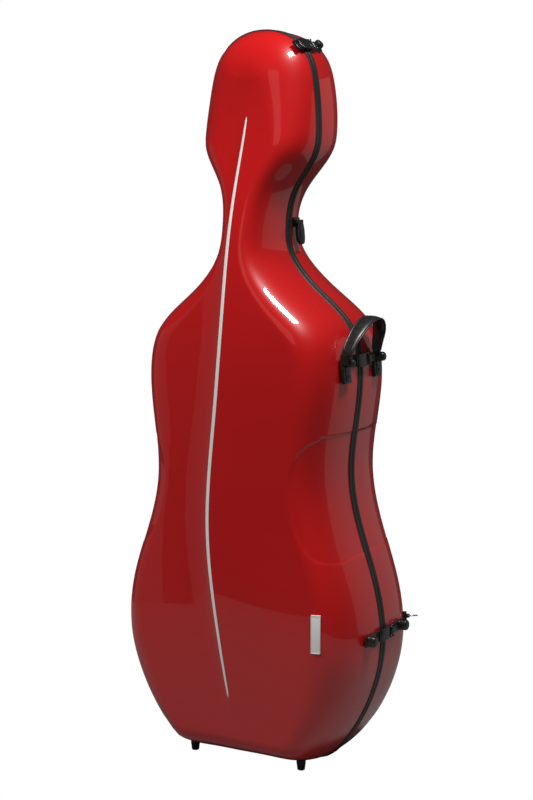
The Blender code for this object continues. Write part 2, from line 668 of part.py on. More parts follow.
# ---------------------------------------------------------------- neck handle
def neck_handle():
    """Small leather loop hanging from a pinned bracket behind the seam at the neck."""
    edge = edge_frame(0.990)
    frame = Frame(edge.origin, (0, 1, 0), (1, 0, 0), (0, 0, 1))
    low = 0.0024
    plate = box(frame, (0.0125, 0.0345), (low, low + 0.002), (-0.009, 0.008))
    steps = []
    for start in (0.0127, 0.0318):
        steps.append(("UNION", *box(frame, (start, start + 0.0018), (low + 0.001, 0.0122), (-0.0040, 0.0040))))
    hub = Frame(frame.point(0, 0.0092, 0.0), frame.axes[1], frame.axes[2], frame.axes[0])
    steps.append(("DIFFERENCE", *turned(hub, (0, 0), [(0.0019, 0.01), (0.0019, 0.06)])))
    combine("neck_handle_bracket", plate, steps, "fitting_black")
    add("neck_handle_pin", *turned(hub, (0, 0), [(0.0018, 0.0122), (0.0018, 0.0341)], 12), "steel")
    outer = [(0.0042 * math.cos(a), 0.0042 * math.sin(a)) for a in np.radians([0, 45, 90, 135, 180])]
    outer += [(-0.0038, -0.018), (-0.0012, -0.037), (0.0040, -0.042), (0.0082, -0.038), (0.0072, -0.018)]
    base = prism(hub, outer, 0.0149, 0.0314)
    hole = turned(hub, (0, 0), [(0.0021, 0.0), (0.0021, 0.06)])
    slot = prism(hub, [(-0.0010, -0.0048), (0.0010, -0.034), (0.0036, -0.0375), (0.0054, -0.034),
                       (0.0030, -0.0048)], 0.0, 0.06)
    combine("neck_handle", base, [("DIFFERENCE", *hole), ("DIFFERENCE", *slot)], "leather_black",
            hub.point(0, 0, 0.0232))


neck_handle()


# ---------------------------------------------------------------- feet
def foot(name, x, y, reach):
    spot = Frame((x, y, 0), (1, 0, 0), (0, 1, 0), (0, 0, 1))
    rings = [(0.0066, 0.0), (0.0074, 0.0022), (0.0092, reach)]
    add(name, *turned(spot, (0, 0), rings, 12), "foot_rubber")


def underside(shell, x, y):
    """Height of the lowest face of the shell above one foot."""
    deep = abs(y - PARTING_Y)
    along = np.interp(abs(x), fine_x[:600], fine[:600])
    px, pz, nx, nz = at_length(along)
    part = deep / shell["depth"](0.03)
    power = shell["power"](pz)
    step = 1 - (1 - part ** power) ** (1 / power)
    return pz + nz * (shell["corner"](pz) * step + lean(shell, pz) * deep)


for word, shell, y in (("front", FRONT, -0.058), ("rear", BACK, 0.078)):
    for hand, x in (("left", -0.113), ("right", 0.113)):
        reach = underside(shell, x - math.copysign(0.009, x), y) - 0.0022
        foot("foot_%s_%s" % (word, hand), x, y, reach)


# ---------------------------------------------------------------- rings for the carrying straps
RING_Z = 0.258
RING_SLANT = math.radians(15)


def strap_ring(hand):
    """Slanted saddle and D ring on the rear corner of the lower bout."""
    side = 1 if hand == "right" else -1
    z = RING_Z
    step = 0.30
    along = np.interp(z, fine_z[np.argmax(fine_z > 0.05):], fine[np.argmax(fine_z > 0.05):])
    x, pz, nx, nz = at_length(along)
    x = x + nx * BACK["corner"](z) * step
    deep = depth_at(BACK, x, z) * curve_part(BACK, step, z)
    out = np.array([0.78 * side, 0.62, 0])
    level = np.array([0.62, -0.78 * side, 0])
    sideways = level * math.cos(RING_SLANT) + np.array([0, 0, side * math.sin(RING_SLANT)])
    spot = Frame((side * x, PARTING_Y + deep, z), sideways, np.cross(sideways, out), out)
    plate = box(spot, (-0.012, 0.012), (-0.009, 0.009), (0.0016, 0.0040))
    barrel = Frame(spot.point(0, 0, 0.0072), spot.axes[1], spot.axes[2], spot.axes[0])
    steps = [("UNION", *turned(barrel, (0, 0), [(0.0040, -0.0070), (0.0040, 0.0070)])),
             ("DIFFERENCE", *turned(barrel, (0, 0), [(0.0019, -0.02), (0.0019, 0.02)]))]
    combine("ring_saddle_" + hand, plate, steps, "fitting_black")
    path = [(-0.0095, 0.0), (0.0095, 0.0)]
    for angle in np.radians([-20, 15, 50, 90, 130, 165, 200]):
        path.append((0.0105 * math.cos(angle), 0.0055 + 0.0095 * math.sin(angle)))
    verts = []
    sides = 6
    for k, (a, b) in enumerate(path):
        before = np.array(path[k - 1])
        after = np.array(path[(k + 1) % len(path)])
        here = np.array((a, b))
        one = (here - before) / np.linalg.norm(here - before)
        two = (after - here) / np.linalg.norm(after - here)
        half = (one + two) / np.linalg.norm(one + two)
        wide = 0.0013 / max(0.5, float(half @ one))
        for m in range(sides):
            angle = 2 * math.pi * m / sides
            off = wide * math.cos(angle)
            verts.append(barrel.point(0.0013 * math.sin(angle), b - half[0] * -off, a - half[1] * off))
    faces = []
    for k in range(len(path)):
        n = (k + 1) % len(path)
        for m in range(sides):
            p = (m + 1) % sides
            faces.append((k * sides + m, n * sides + m, n * sides + p, k * sides + p))
    add("strap_ring_" + hand, verts, faces, "steel", barrel.point(0, 0, 0))


strap_ring("right")
strap_ring("left")

# ---------------------------------------------------------------- inside the body
UPRIGHT = Frame((0, PARTING_Y, 0), (1, 0, 0), (0, 1, 0), (0, 0, 1))


def inner_depth(shell, x, z):
    return float(depth_at(shell, x, z)) - LINING_IN


def neck_cradle():
    """Padded block with a notch for the instrument's neck, and a strap across it."""
    deep = inner_depth(BACK, 0, 0.997) - 0.0012
    profile = [(-0.0150, deep), (0.0150, deep), (0.0270, deep - 0.020), (0.0270, 0.010), (0.0170, 0.010),
               (0.0140, 0.026), (0.0, 0.031), (-0.0140, 0.026), (-0.0170, 0.010), (-0.0270, 0.010),
               (-0.0270, deep - 0.020)]
    add("neck_cradle", *prism(UPRIGHT, profile[::-1], 0.965, 0.997), "lining_cloth")
    band = [(-0.0265, 0.0070), (0.0265, 0.0070), (0.0265, 0.0095), (-0.0265, 0.0095)]
    add("neck_strap", *prism(UPRIGHT, band, 0.972, 0.990), "leather_black")


neck_cradle()
for hand, side in (("left", -1), ("right", 1)):
    ends = sorted((side * 0.1380, side * 0.1545))
    add("waist_pad_" + hand, *box(UPRIGHT, ends, (0.016, 0.070), (0.500, 0.580)), "lining_cloth")


# ---------------------------------------------------------------- bow holders in the lid
def bow_holder(hand, x):
    """Sleeve for the tip, block for the frog, and a clip that turns over it."""
    top = 0.740
    deep = -min(inner_depth(FRONT, x + s, z) for s in (-0.016, 0.016) for z in (top, top + 0.05)) + 0.0025
    spot = Frame((x, PARTING_Y, 0), (1, 0, 0), (0, 1, 0), (0, 0, 1))
    sleeve = box(spot, (-0.016, 0.016), (deep, deep + 0.022), (top, top + 0.05))
    hole = box(spot, (-0.012, 0.012), (deep + 0.004, deep + 0.018), (top - 0.01, top + 0.044))
    combine("bow_tip_holder_" + hand, sleeve, [("DIFFERENCE", *hole)], "lining_cloth")
    low = 0.190
    deep = -min(inner_depth(FRONT, x + s, z) for s in (-0.016, 0.016) for z in (low, low + 0.05)) + 0.0025
    profile = [(-0.016, deep), (0.016, deep), (0.016, deep + 0.024), (0.009, deep + 0.024),
               (0.009, deep + 0.008), (-0.009, deep + 0.008), (-0.009, deep + 0.024), (-0.016, deep + 0.024)]
    stud = Frame((x - 0.0125, PARTING_Y, low + 0.025), (1, 0, 0), (0, 0, 1), (0, 1, 0))
    pin = [(0.0018, deep + 0.020), (0.0018, deep + 0.030)]
    combine("bow_frog_block_" + hand, prism(spot, profile, low, low + 0.05),
            [("UNION", *turned(stud, (0, 0), pin))], "lining_cloth")
    clip = [(-0.005, -0.005), (0.004, -0.006), (0.027, -0.004), (0.027, 0.004), (0.004, 0.006), (-0.005, 0.005)]
    combine("bow_clip_" + hand, prism(stud, clip, deep + 0.0246, deep + 0.0276),
            [("DIFFERENCE", *turned(stud, (0, 0), [(0.0019, deep), (0.0019, deep + 0.04)]))],
            "fitting_black", stud.point(0, 0, deep + 0.026))


bow_holder("left", -0.075)
bow_holder("right", 0.045)
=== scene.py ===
"""Looks of the cello case: fine shells, seals, fittings, leather, linings and the studio.

Metres, +Z up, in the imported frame.  The lid faces -Y and the latched edge is at +X.
"""
import json
import math

import bmesh
import bpy
import numpy as np
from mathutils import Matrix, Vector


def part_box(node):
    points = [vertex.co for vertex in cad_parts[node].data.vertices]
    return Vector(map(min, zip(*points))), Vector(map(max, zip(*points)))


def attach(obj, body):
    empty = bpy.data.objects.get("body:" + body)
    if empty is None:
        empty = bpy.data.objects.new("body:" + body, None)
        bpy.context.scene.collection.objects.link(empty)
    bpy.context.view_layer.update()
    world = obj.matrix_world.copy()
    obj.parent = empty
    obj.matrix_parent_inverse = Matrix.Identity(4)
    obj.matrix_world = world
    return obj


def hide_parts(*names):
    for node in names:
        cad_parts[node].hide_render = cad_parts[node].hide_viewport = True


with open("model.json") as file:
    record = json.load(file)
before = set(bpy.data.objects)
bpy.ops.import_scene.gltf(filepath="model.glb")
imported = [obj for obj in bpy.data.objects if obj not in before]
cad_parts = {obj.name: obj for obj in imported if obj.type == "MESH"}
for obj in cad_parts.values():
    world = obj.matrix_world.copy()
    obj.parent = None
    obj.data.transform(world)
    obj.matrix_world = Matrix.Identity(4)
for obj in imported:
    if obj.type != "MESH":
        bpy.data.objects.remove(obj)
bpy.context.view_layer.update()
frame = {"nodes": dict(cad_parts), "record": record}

# ---------------------------------------------------------------- sizes shared with the CAD model
PARTING_Y = 0.014
WALL = 0.0035
LINING_OUT = WALL + 0.0012
LINING_IN = LINING_OUT + 0.010
SEAL_HALF = 0.0108
RIM = SEAL_HALF + 0.0004
LINING_RIM = RIM + 0.0006
BOTTOM_CORNER_Z = 0.058
TOP_CORNER_Z = 1.290
INLAY_LOW = 0.142
INLAY_HIGH = 1.176
BADGE_AT = (0.1855, 0.2835)
OUTLINE = [
    (0.0, 0.0045), (0.06, 0.0045), (0.110, 0.0050), (0.138, 0.0135), (0.159, 0.0335),
    (0.1835, 0.066), (0.216, 0.128), (0.2405, 0.232), (0.2245, 0.350), (0.1875, 0.467),
    (0.1755, 0.540), (0.1815, 0.620), (0.1915, 0.735), (0.1765, 0.800), (0.108, 0.8695),
    (0.0715, 0.9055), (0.050, 0.942), (0.0455, 0.980), (0.0595, 1.0475), (0.083, 1.084),
    (0.1025, 1.120), (0.1065, 1.165), (0.1015, 1.230), (0.081, 1.2935), (0.042, 1.3225),
    (0.0, 1.330),
]
# the shallow panel pressed into the waist of each shell
PANEL_Z = 0.511
PANEL_HALF = 0.107
PANEL_REACH = 0.050
PANEL_POWER = 2.2
PANEL_DROP = 0.0007
PANEL_EDGE = 0.0006


def clamped_spline(knots, values, first_slope=0.0, last_slope=0.0):
    """Cubic spline through the values with a chosen slope at each end."""
    knots = np.array(knots, float)
    values = np.array(values, float)
    gap = np.diff(knots)
    count = len(knots)
    matrix = np.eye(count)
    right = np.zeros(count)
    right[0] = first_slope
    right[-1] = last_slope
    for i in range(1, count - 1):
        matrix[i, i - 1] = 1 / gap[i - 1]
        matrix[i, i] = 2 / gap[i - 1] + 2 / gap[i]
        matrix[i, i + 1] = 1 / gap[i]
        before = (values[i] - values[i - 1]) / gap[i - 1] ** 2
        after = (values[i + 1] - values[i]) / gap[i] ** 2
        right[i] = 3 * (before + after)
    slope = np.linalg.solve(matrix, right)

    def value(x):
        x = np.clip(x, knots[0], knots[-1])
        i = np.clip(np.searchsorted(knots, x, side="right") - 1, 0, count - 2)
        h = gap[i]
        u = (x - knots[i]) / h
        start = (2 * u**3 - 3 * u**2 + 1) * values[i] + (u**3 - 2 * u**2 + u) * h * slope[i]
        end = (3 * u**2 - 2 * u**3) * values[i + 1] + (u**3 - u**2) * h * slope[i + 1]
        return start + end

    return value


FRONT = {
    "depth": clamped_spline([0.0, 0.15, 0.5, 0.8, 0.98, 1.15, 1.33],
                            [0.128, 0.146, 0.147, 0.140, 0.112, 0.076, 0.066]),
    "corner": clamped_spline([0.0, 0.15, 0.35, 0.5, 0.65, 0.8, 0.98, 1.15, 1.33],
                             [0.050, 0.075, 0.055, 0.056, 0.060, 0.060, 0.034, 0.058, 0.084]),
    "power": clamped_spline([0.0, 0.98, 1.15, 1.33], [2.5, 2.5, 2.3, 2.1]),
    "side": -1,
}
BACK = {
    "depth": clamped_spline([0.0, 0.15, 0.5, 0.8, 0.90, 1.0, 1.08, 1.2, 1.33],
                            [0.142, 0.142, 0.136, 0.130, 0.094, 0.055, 0.085, 0.112, 0.102]),
    "corner": clamped_spline([0.0, 0.15, 0.5, 0.8, 0.98, 1.15, 1.33],
                             [0.034, 0.045, 0.050, 0.050, 0.028, 0.044, 0.042]),
    "power": clamped_spline([0.0, 1.33], [3.0, 3.0]),
    "side": 1,
}


def lean(shell, z):
    """How much the lid's walls slope inward, away from the seam, at the foot and the crown."""
    if shell["side"] > 0:
        return 0.0
    low = max(0.0, 1 - z / 0.24)
    high = max(0.0, (z - 1.12) / 0.21)
    return 0.10 * low * low + 0.10 * high * high


ridge_x = clamped_spline([0.0, 0.14, 0.30, 0.46, 0.65, 0.85, 1.05, 1.18, 1.33],
                         [0.012, 0.0065, -0.0100, -0.0270, -0.0155, -0.0050, -0.0040, 0.0048, 0.0120])
ridge_rise = clamped_spline([0.0, 0.14, 0.30, 0.60, 0.90, 1.06, 1.22, 1.33],
                            [0.0, 0.003, 0.013, 0.014, 0.010, 0.007, 0.002, 0.0])


def depth_at(shell, x, z):
    """Depth of the shell's face at one place, measured from the parting plane."""
    depth = shell["depth"](z) + 0.004 * (1 - (x / 0.2) ** 2)
    if shell["side"] < 0:
        across = x - ridge_x(z)
        flank = np.exp(np.minimum(across, 0) / 0.014)
        swell = np.exp(-(np.maximum(across, 0) / 0.13) ** 2)
        depth = depth + ridge_rise(z) * flank * swell
    return depth


def curve_part(shell, step, z):
    power = shell["power"](z)
    return (1 - (1 - step) ** power) ** (1 / power)


# ---------------------------------------------------------------- outline
lengths = np.hypot(*np.diff(np.array(OUTLINE), axis=0).T)
knots = np.concatenate([[0], np.cumsum(lengths)])
fine = np.linspace(0, knots[-1], 4001)
fine_x = clamped_spline(knots, [p[0] for p in OUTLINE], 1.0, -1.0)(fine)
fine_z = clamped_spline(knots, [p[1] for p in OUTLINE], 0.0, 0.0)(fine)
tangent_x = np.gradient(fine_x, fine)
tangent_z = np.gradient(fine_z, fine)
speed = np.hypot(tangent_x, tangent_z)
tangent_x = tangent_x / speed
tangent_z = tangent_z / speed
SIDE = fine_z > 0.05


def at_length(along):
    """Point and inward normal on the right half, by distance along the curve."""
    x = np.interp(along, fine, fine_x)
    z = np.interp(along, fine, fine_z)
    tx = np.interp(along, fine, tangent_x)
    tz = np.interp(along, fine, tangent_z)
    return float(x), float(z), -float(tz), float(tx)


def at_height(z):
    """Point and inward normal where the right side passes one height."""
    return at_length(np.interp(z, fine_z[SIDE], fine[SIDE]))


def spread(count, power):
    return (np.arange(count) / count) ** power


def columns_between(left, right, middle, many):
    """Places of the columns between two sides, closest together at the ridge line."""
    away = spread(many[0], 1.5)[1:][::-1]
    xs = [left] + [middle + (left - middle) * part for part in away]
    xs += [middle + (right - middle) * part for part in spread(many[1], 1.4)]
    return np.array(xs + [right])


def side_heights(fine_rows):
    """Heights of the rows up a side; the panel's ends fall between two close rows."""
    low = PANEL_Z - PANEL_HALF
    high = PANEL_Z + PANEL_HALF
    if not fine_rows:
        return np.interp(np.linspace(0, 1, 41), [0, 1], [BOTTOM_CORNER_Z, TOP_CORNER_Z])
    waist = PANEL_Z - (PANEL_HALF - PANEL_EDGE) * np.cos(np.pi * np.arange(49) / 48)
    below = even_heights(BOTTOM_CORNER_Z, low - PANEL_EDGE, 0.0075)
    above = even_heights(high + PANEL_EDGE, TOP_CORNER_Z, 0.0070)
    return np.concatenate([below, waist, above])


def even_heights(low, high, gap):
    """Heights between two limits, even along the curve."""
    start = np.interp(low, fine_z[SIDE], fine[SIDE])
    end = np.interp(high, fine_z[SIDE], fine[SIDE])
    count = int((end - start) / gap) + 1
    return np.interp(np.linspace(start, end, count), fine, fine_z)


class Loop:
    """Points round the whole outline, from the lower left corner, with their inward normals."""

    def __init__(self, many, fine_rows):
        self.many = many
        heights = side_heights(fine_rows)
        self.rows = len(heights) - 1
        self.columns = many[0] + many[1]
        low_along = np.interp(heights[0], fine_z[SIDE], fine[SIDE])
        high_along = np.interp(heights[-1], fine_z[SIDE], fine[SIDE])
        points = self.arc(0, low_along, ridge_x(0.02))
        points += [at_height(z) for z in heights[1:]]
        points += self.arc(high_along, fine[-1], ridge_x(1.32))[::-1][1:]
        for z in heights[::-1][1:-1]:
            px, pz, nx, nz = at_height(z)
            points.append((-px, pz, -nx, nz))
        self.points = points
        self.count = len(points)

    def arc(self, start, end, middle):
        """Points across the bottom or the top, from left to right."""
        inside = (fine >= start) & (fine <= end)
        order = np.argsort(fine_x[inside])
        xs = fine_x[inside][order]
        along = fine[inside][order]
        found = []
        for x in columns_between(-xs[-1], xs[-1], middle, self.many):
            px, pz, nx, nz = at_length(np.interp(abs(x), xs, along))
            found.append((math.copysign(px, x), pz, math.copysign(1, x) * nx, nz))
        return found


def panel_reach(z):
    """How far in the panel's edge lies at one height, and whether the height is inside it."""
    u = abs(z - PANEL_Z) / PANEL_HALF
    least = 0.012
    if u < 1:
        return max(least, PANEL_REACH * (1 - u**PANEL_POWER) ** (1 / PANEL_POWER)), True
    ease = min(1.0, (u - 1) / 0.9)
    return least + (0.045 - least) * ease * ease * (3 - 2 * ease), False


def shell_point(shell, inset, point, reach, drop, height=None):
    """A point on the skin, some way in from the outline."""
    x, z, nx, nz = point
    corner = shell["corner"](z)
    step = min(1.0, reach / corner)
    moved = inset + drop + reach * (corner - inset - drop) / corner
    if height is None:
        rough = (depth_at(shell, x + nx * moved, z + nz * moved) - inset) * curve_part(shell, step, z)
    else:
        rough = height
    moved += lean(shell, z) * rough
    px = x + nx * moved
    pz = z + nz * moved
    if height is None:
        deep = (depth_at(shell, px, pz) - inset - drop) * curve_part(shell, step, z)
    else:
        deep = height
    return (px, PARTING_Y + shell["side"] * float(deep), pz)


INNER_BANDS = 15
OUTER_BANDS = 10


def fine_reaches(shell, point):
    """Distances in from the outline for the outer skin, each with its drop into the panel."""
    edge, inside = panel_reach(point[1])
    corner = float(shell["corner"](point[1]))
    edge = min(edge, 0.86 * corner)
    drop = PANEL_DROP if inside else 0.0
    found = [((edge - PANEL_EDGE) * (k / INNER_BANDS) ** 3.2, drop) for k in range(1, INNER_BANDS + 1)]
    start = edge + PANEL_EDGE
    for k in range(OUTER_BANDS + 1):
        found.append((start + (corner - start) * (k / OUTER_BANDS) ** 1.3, 0.0))
    return found, drop


def coarse_reaches(shell, point):
    corner = float(shell["corner"](point[1]))
    return [(corner * part, 0.0) for part in (0.008, 0.03, 0.08, 0.18, 0.34, 0.6, 1.0)], 0.0


def skin(shell, loop, inset, rim, reaches):
    """Vertices and quads of one skin of a shell."""
    per_point = []
    for point in loop.points:
        steps, drop = reaches(shell, point)
        column = [shell_point(shell, inset, point, 0.0, drop, rim)]
        column += [shell_point(shell, inset, point, reach, fall) for reach, fall in steps]
        per_point.append(column)
    bands = len(per_point[0]) - 1
    verts = [per_point[i][band] for band in range(bands + 1) for i in range(loop.count)]
    faces = []
    for band in range(bands):
        low = band * loop.count
        high = low + loop.count
        for i in range(loop.count):
            j = (i + 1) % loop.count
            faces.append((low + i, low + j, high + j, high + i))
    edge = bands * loop.count
    columns, rows = loop.columns, loop.rows
    grid = {}
    for i in range(columns + 1):
        grid[i, 0] = edge + i
        grid[i, rows] = edge + columns + rows + columns - i
    for j in range(1, rows):
        grid[columns, j] = edge + columns + j
        grid[0, j] = edge + loop.count - j
    low_z = verts[grid[0, 0]][2]
    high_z = verts[grid[0, rows]][2]
    for j in range(1, rows):
        left = verts[grid[0, j]]
        right = verts[grid[columns, j]]
        part = (left[2] - low_z) / (high_z - low_z)
        xs = columns_between(left[0], right[0], ridge_x(left[2]), loop.many)
        for i in range(1, columns):
            sag = (verts[grid[i, 0]][2] - low_z) * (1 - part)
            lift = (verts[grid[i, rows]][2] - high_z) * part
            z = left[2] + sag + lift
            deep = float(depth_at(shell, xs[i], z)) - inset
            grid[i, j] = len(verts)
            verts.append((xs[i], PARTING_Y + shell["side"] * deep, z))
    for i in range(columns):
        for j in range(rows):
            faces.append((grid[i, j], grid[i + 1, j], grid[i + 1, j + 1], grid[i, j + 1]))
    return verts, faces


def skin_depth(shell, x, z):
    """Depth of the shell's outer skin at any place, its rounded edge included."""
    away = np.hypot(fine_x - abs(x), fine_z - z)
    nearest = np.argmin(away)
    step = min(1.0, away[nearest] / float(shell["corner"](fine_z[nearest])))
    return float(depth_at(shell, x, z)) * curve_part(shell, step, z)


# ---------------------------------------------------------------- materials
def node(tree, kind, **settings):
    made = tree.nodes.new(kind)
    for key, value in settings.items():
        if key in made.bl_rna.properties:
            setattr(made, key, value)
        else:
            made.inputs[key.replace("_", " ")].default_value = value
    return made


def new_material(name, colour, rough, metal=0.0, **extra):
    """A Principled material; returns it with its tree, shader and object coordinates."""
    made = bpy.data.materials.new(name)
    made.use_nodes = True
    tree = made.node_tree
    shader = tree.nodes["Principled BSDF"]
    shader.inputs["Base Color"].default_value = (*colour, 1)
    shader.inputs["Roughness"].default_value = rough
    shader.inputs["Metallic"].default_value = metal
    for key, value in extra.items():
        shader.inputs[key.replace("_", " ")].default_value = value
    where = tree.nodes.new("ShaderNodeTexCoord")
    return made, tree, shader, where.outputs["Object"]


def stretched(tree, where, scale):
    mapping = node(tree, "ShaderNodeMapping")
    mapping.inputs["Scale"].default_value = scale
    tree.links.new(where, mapping.inputs["Vector"])
    return mapping.outputs["Vector"]


def noise(tree, where, scale, detail=3.0, rough=0.5):
    made = node(tree, "ShaderNodeTexNoise", Scale=scale, Detail=detail, Roughness=rough)
    tree.links.new(where, made.inputs["Vector"])
    return made.outputs["Fac"]


def tint(tree, shader, value, stops):
    """Base colour from a value, by stops of (place, colour)."""
    made = node(tree, "ShaderNodeValToRGB")
    elements = made.color_ramp.elements
    while len(elements) < len(stops):
        elements.new(0.5)
    for element, (place, colour) in zip(elements, stops):
        element.position = place
        element.color = (*colour, 1)
    tree.links.new(value, made.inputs["Fac"])
    tree.links.new(made.outputs["Color"], shader.inputs["Base Color"])


def roughen(tree, shader, value, low, high):
    """Roughness between two limits, by a value."""
    made = node(tree, "ShaderNodeMapRange")
    made.inputs["To Min"].default_value = low
    made.inputs["To Max"].default_value = high
    tree.links.new(value, made.inputs["Value"])
    tree.links.new(made.outputs["Result"], shader.inputs["Roughness"])


def bump(tree, shader, height, strength, distance, under=None, socket="Normal"):
    made = node(tree, "ShaderNodeBump", Strength=strength, Distance=distance)
    tree.links.new(height, made.inputs["Height"])
    if under is not None:
        tree.links.new(under, made.inputs["Normal"])
    tree.links.new(made.outputs["Normal"], shader.inputs[socket])
    return made.outputs["Normal"]


def gloss_red():
    """Deep red gel coat under a hard clear coat with a faint orange peel."""
    made, tree, shader, where = new_material(
        "gloss_red", (0.52, 0.007, 0.008), 0.34, Specular_IOR_Level=0.30, Coat_Weight=1.0,
        Coat_Roughness=0.02, Coat_IOR=1.45)
    cloud = noise(tree, where, 3.0, 2.0)
    tint(tree, shader, cloud, [(0.30, (0.50, 0.0065, 0.0075)), (0.70, (0.54, 0.0080, 0.0085))])
    flake = noise(tree, where, 900.0, 1.0)
    roughen(tree, shader, flake, 0.28, 0.42)
    peel = noise(tree, where, 55.0, 1.0)
    bump(tree, shader, peel, 0.05, 0.0004, socket="Coat Normal")
    return made


def seal_rubber():
    made, tree, shader, where = new_material("seal_rubber", (0.018, 0.020, 0.020), 0.5,
                                             Specular_IOR_Level=0.45)
    grain = noise(tree, where, 420.0, 3.0)
    roughen(tree, shader, grain, 0.40, 0.60)
    dust = noise(tree, where, 14.0, 4.0)
    tint(tree, shader, dust, [(0.35, (0.015, 0.017, 0.017)), (0.75, (0.026, 0.029, 0.029))])
    bump(tree, shader, grain, 0.12, 0.0002)
    return made


def black_plastic():
    """Moulded black fittings: satin skin with a fine spark texture, a little worn."""
    made, tree, shader, where = new_material("black_plastic", (0.012, 0.012, 0.013), 0.28,
                                             Specular_IOR_Level=0.55)
    spark = noise(tree, where, 1400.0, 2.0)
    wear = noise(tree, where, 60.0, 4.0)
    roughen(tree, shader, wear, 0.18, 0.38)
    tint(tree, shader, wear, [(0.40, (0.010, 0.010, 0.011)), (0.80, (0.022, 0.022, 0.023))])
    bump(tree, shader, spark, 0.10, 0.0001)
    return made


def foot_rubber():
    made, tree, shader, where = new_material("foot_rubber", (0.014, 0.014, 0.014), 0.6)
    grain = noise(tree, where, 700.0, 3.0)
    roughen(tree, shader, grain, 0.45, 0.75)
    tint(tree, shader, noise(tree, where, 90.0, 4.0),
                 [(0.35, (0.011, 0.011, 0.011)), (0.80, (0.030, 0.029, 0.028))])
    bump(tree, shader, grain, 0.2, 0.0002)
    return made


def silver_trim():
    """Satin metal with fine lines brushed along its length."""
    made, tree, shader, where = new_material("silver_trim", (0.75, 0.76, 0.74), 0.45, 0.10)
    lines = noise(tree, stretched(tree, where, (2600.0, 2600.0, 24.0)), 1.0, 2.0)
    roughen(tree, shader, lines, 0.36, 0.54)
    tint(tree, shader, lines, [(0.30, (0.84, 0.85, 0.82)), (0.75, (0.95, 0.96, 0.93))])
    bump(tree, shader, lines, 0.06, 0.0001)
    return made


def steel():
    made, tree, shader, where = new_material("polished_steel", (0.58, 0.58, 0.57), 0.2, 1.0)
    scuff = noise(tree, where, 300.0, 4.0)
    roughen(tree, shader, scuff, 0.12, 0.34)
    bump(tree, shader, scuff, 0.05, 0.0001)
    return made


def leather():
    """Black leather: pebbled grain, soft shine, slightly rubbed on the high spots."""
    made, tree, shader, where = new_material("black_leather", (0.012, 0.012, 0.012), 0.38,
                                             Specular_IOR_Level=0.5, Coat_Weight=0.25,
                                             Coat_Roughness=0.25)
    cells = node(tree, "ShaderNodeTexVoronoi", feature="F1", Scale=950.0)
    tree.links.new(where, cells.inputs["Vector"])
    folds = noise(tree, where, 160.0, 5.0, 0.6)
    first = bump(tree, shader, cells.outputs["Distance"], 0.30, 0.00025)
    bump(tree, shader, folds, 0.25, 0.0004, under=first)
    roughen(tree, shader, folds, 0.28, 0.52)
    tint(tree, shader, folds, [(0.35, (0.009, 0.009, 0.009)), (0.75, (0.022, 0.021, 0.020))])
    return made


def thread():
    made, tree, shader, where = new_material("black_thread", (0.02, 0.02, 0.02), 0.7)
    twist = node(tree, "ShaderNodeTexWave", Scale=900.0, Distortion=1.0)
    tree.links.new(where, twist.inputs["Vector"])
    bump(tree, shader, twist.outputs["Fac"], 0.4, 0.0001)
    tint(tree, shader, twist.outputs["Fac"], [(0.2, (0.012, 0.012, 0.012)), (0.9, (0.04, 0.04, 0.04))])
    return made


def plush(name, dark, light):
    """Short-pile lining cloth with a soft sheen and brushed patches."""
    made, tree, shader, where = new_material(name, dark, 0.95, Sheen_Weight=0.45, Sheen_Roughness=0.4,
                                             Specular_IOR_Level=0.1)
    pile = noise(tree, where, 1100.0, 3.0, 0.7)
    brushed = noise(tree, where, 9.0, 4.0)
    mixed = node(tree, "ShaderNodeMath", operation="MULTIPLY")
    tree.links.new(pile, mixed.inputs[0])
    tree.links.new(brushed, mixed.inputs[1])
    tint(tree, shader, mixed.outputs[0], [(0.12, dark), (0.42, light)])
    bump(tree, shader, pile, 0.5, 0.0006)
    return made


MATERIALS = {
    "shell_gloss_red": gloss_red(),
    "seal_rubber": seal_rubber(),
    "fitting_black": black_plastic(),
    "foot_rubber": foot_rubber(),
    "silver_trim": silver_trim(),
    "steel_pins": steel(),
    "leather_black": leather(),
    "lining_cloth": plush("lining_plush", (0.022, 0.022, 0.025), (0.075, 0.075, 0.082)),
}
THREAD = thread()


# ---------------------------------------------------------------- mesh helpers
REAL_EDGE = math.radians(25)    # a sharper turn than this counts as an edge to round over


def new_piece(name, verts, faces, slot, body, replaced=(), sharp=40, look=None):
    """A smooth-shaded object that rides on a body and stands for some CAD nodes."""
    mesh = bpy.data.meshes.new(name)
    mesh.from_pydata([tuple(map(float, v)) for v in verts], [], [tuple(map(int, f)) for f in faces])
    work = bmesh.new()
    work.from_mesh(mesh)
    bmesh.ops.recalc_face_normals(work, faces=work.faces)
    work.to_mesh(mesh)
    work.free()
    mesh.shade_smooth()
    mesh.set_sharp_from_angle(angle=math.radians(sharp))
    mesh.materials.append(look or MATERIALS[slot])
    made = bpy.data.objects.new(name, mesh)
    bpy.context.scene.collection.objects.link(made)
    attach(made, body)
    if replaced:
        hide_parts(*replaced)
    return made


class Place:
    """Somewhere to build: an origin and three unit directions."""

    def __init__(self, origin, u, v, w):
        self.origin = np.array(origin, float)
        self.axes = [np.array(a, float) / np.linalg.norm(a) for a in (u, v, w)]

    def point(self, a, b, c):
        return tuple(self.origin + a * self.axes[0] + b * self.axes[1] + c * self.axes[2])


def joined(*solids):
    """Several solids as one list of vertices and faces."""
    verts = []
    faces = []
    for more_verts, more_faces in solids:
        start = len(verts)
        verts += list(more_verts)
        faces += [tuple(start + i for i in face) for face in more_faces]
    return verts, faces


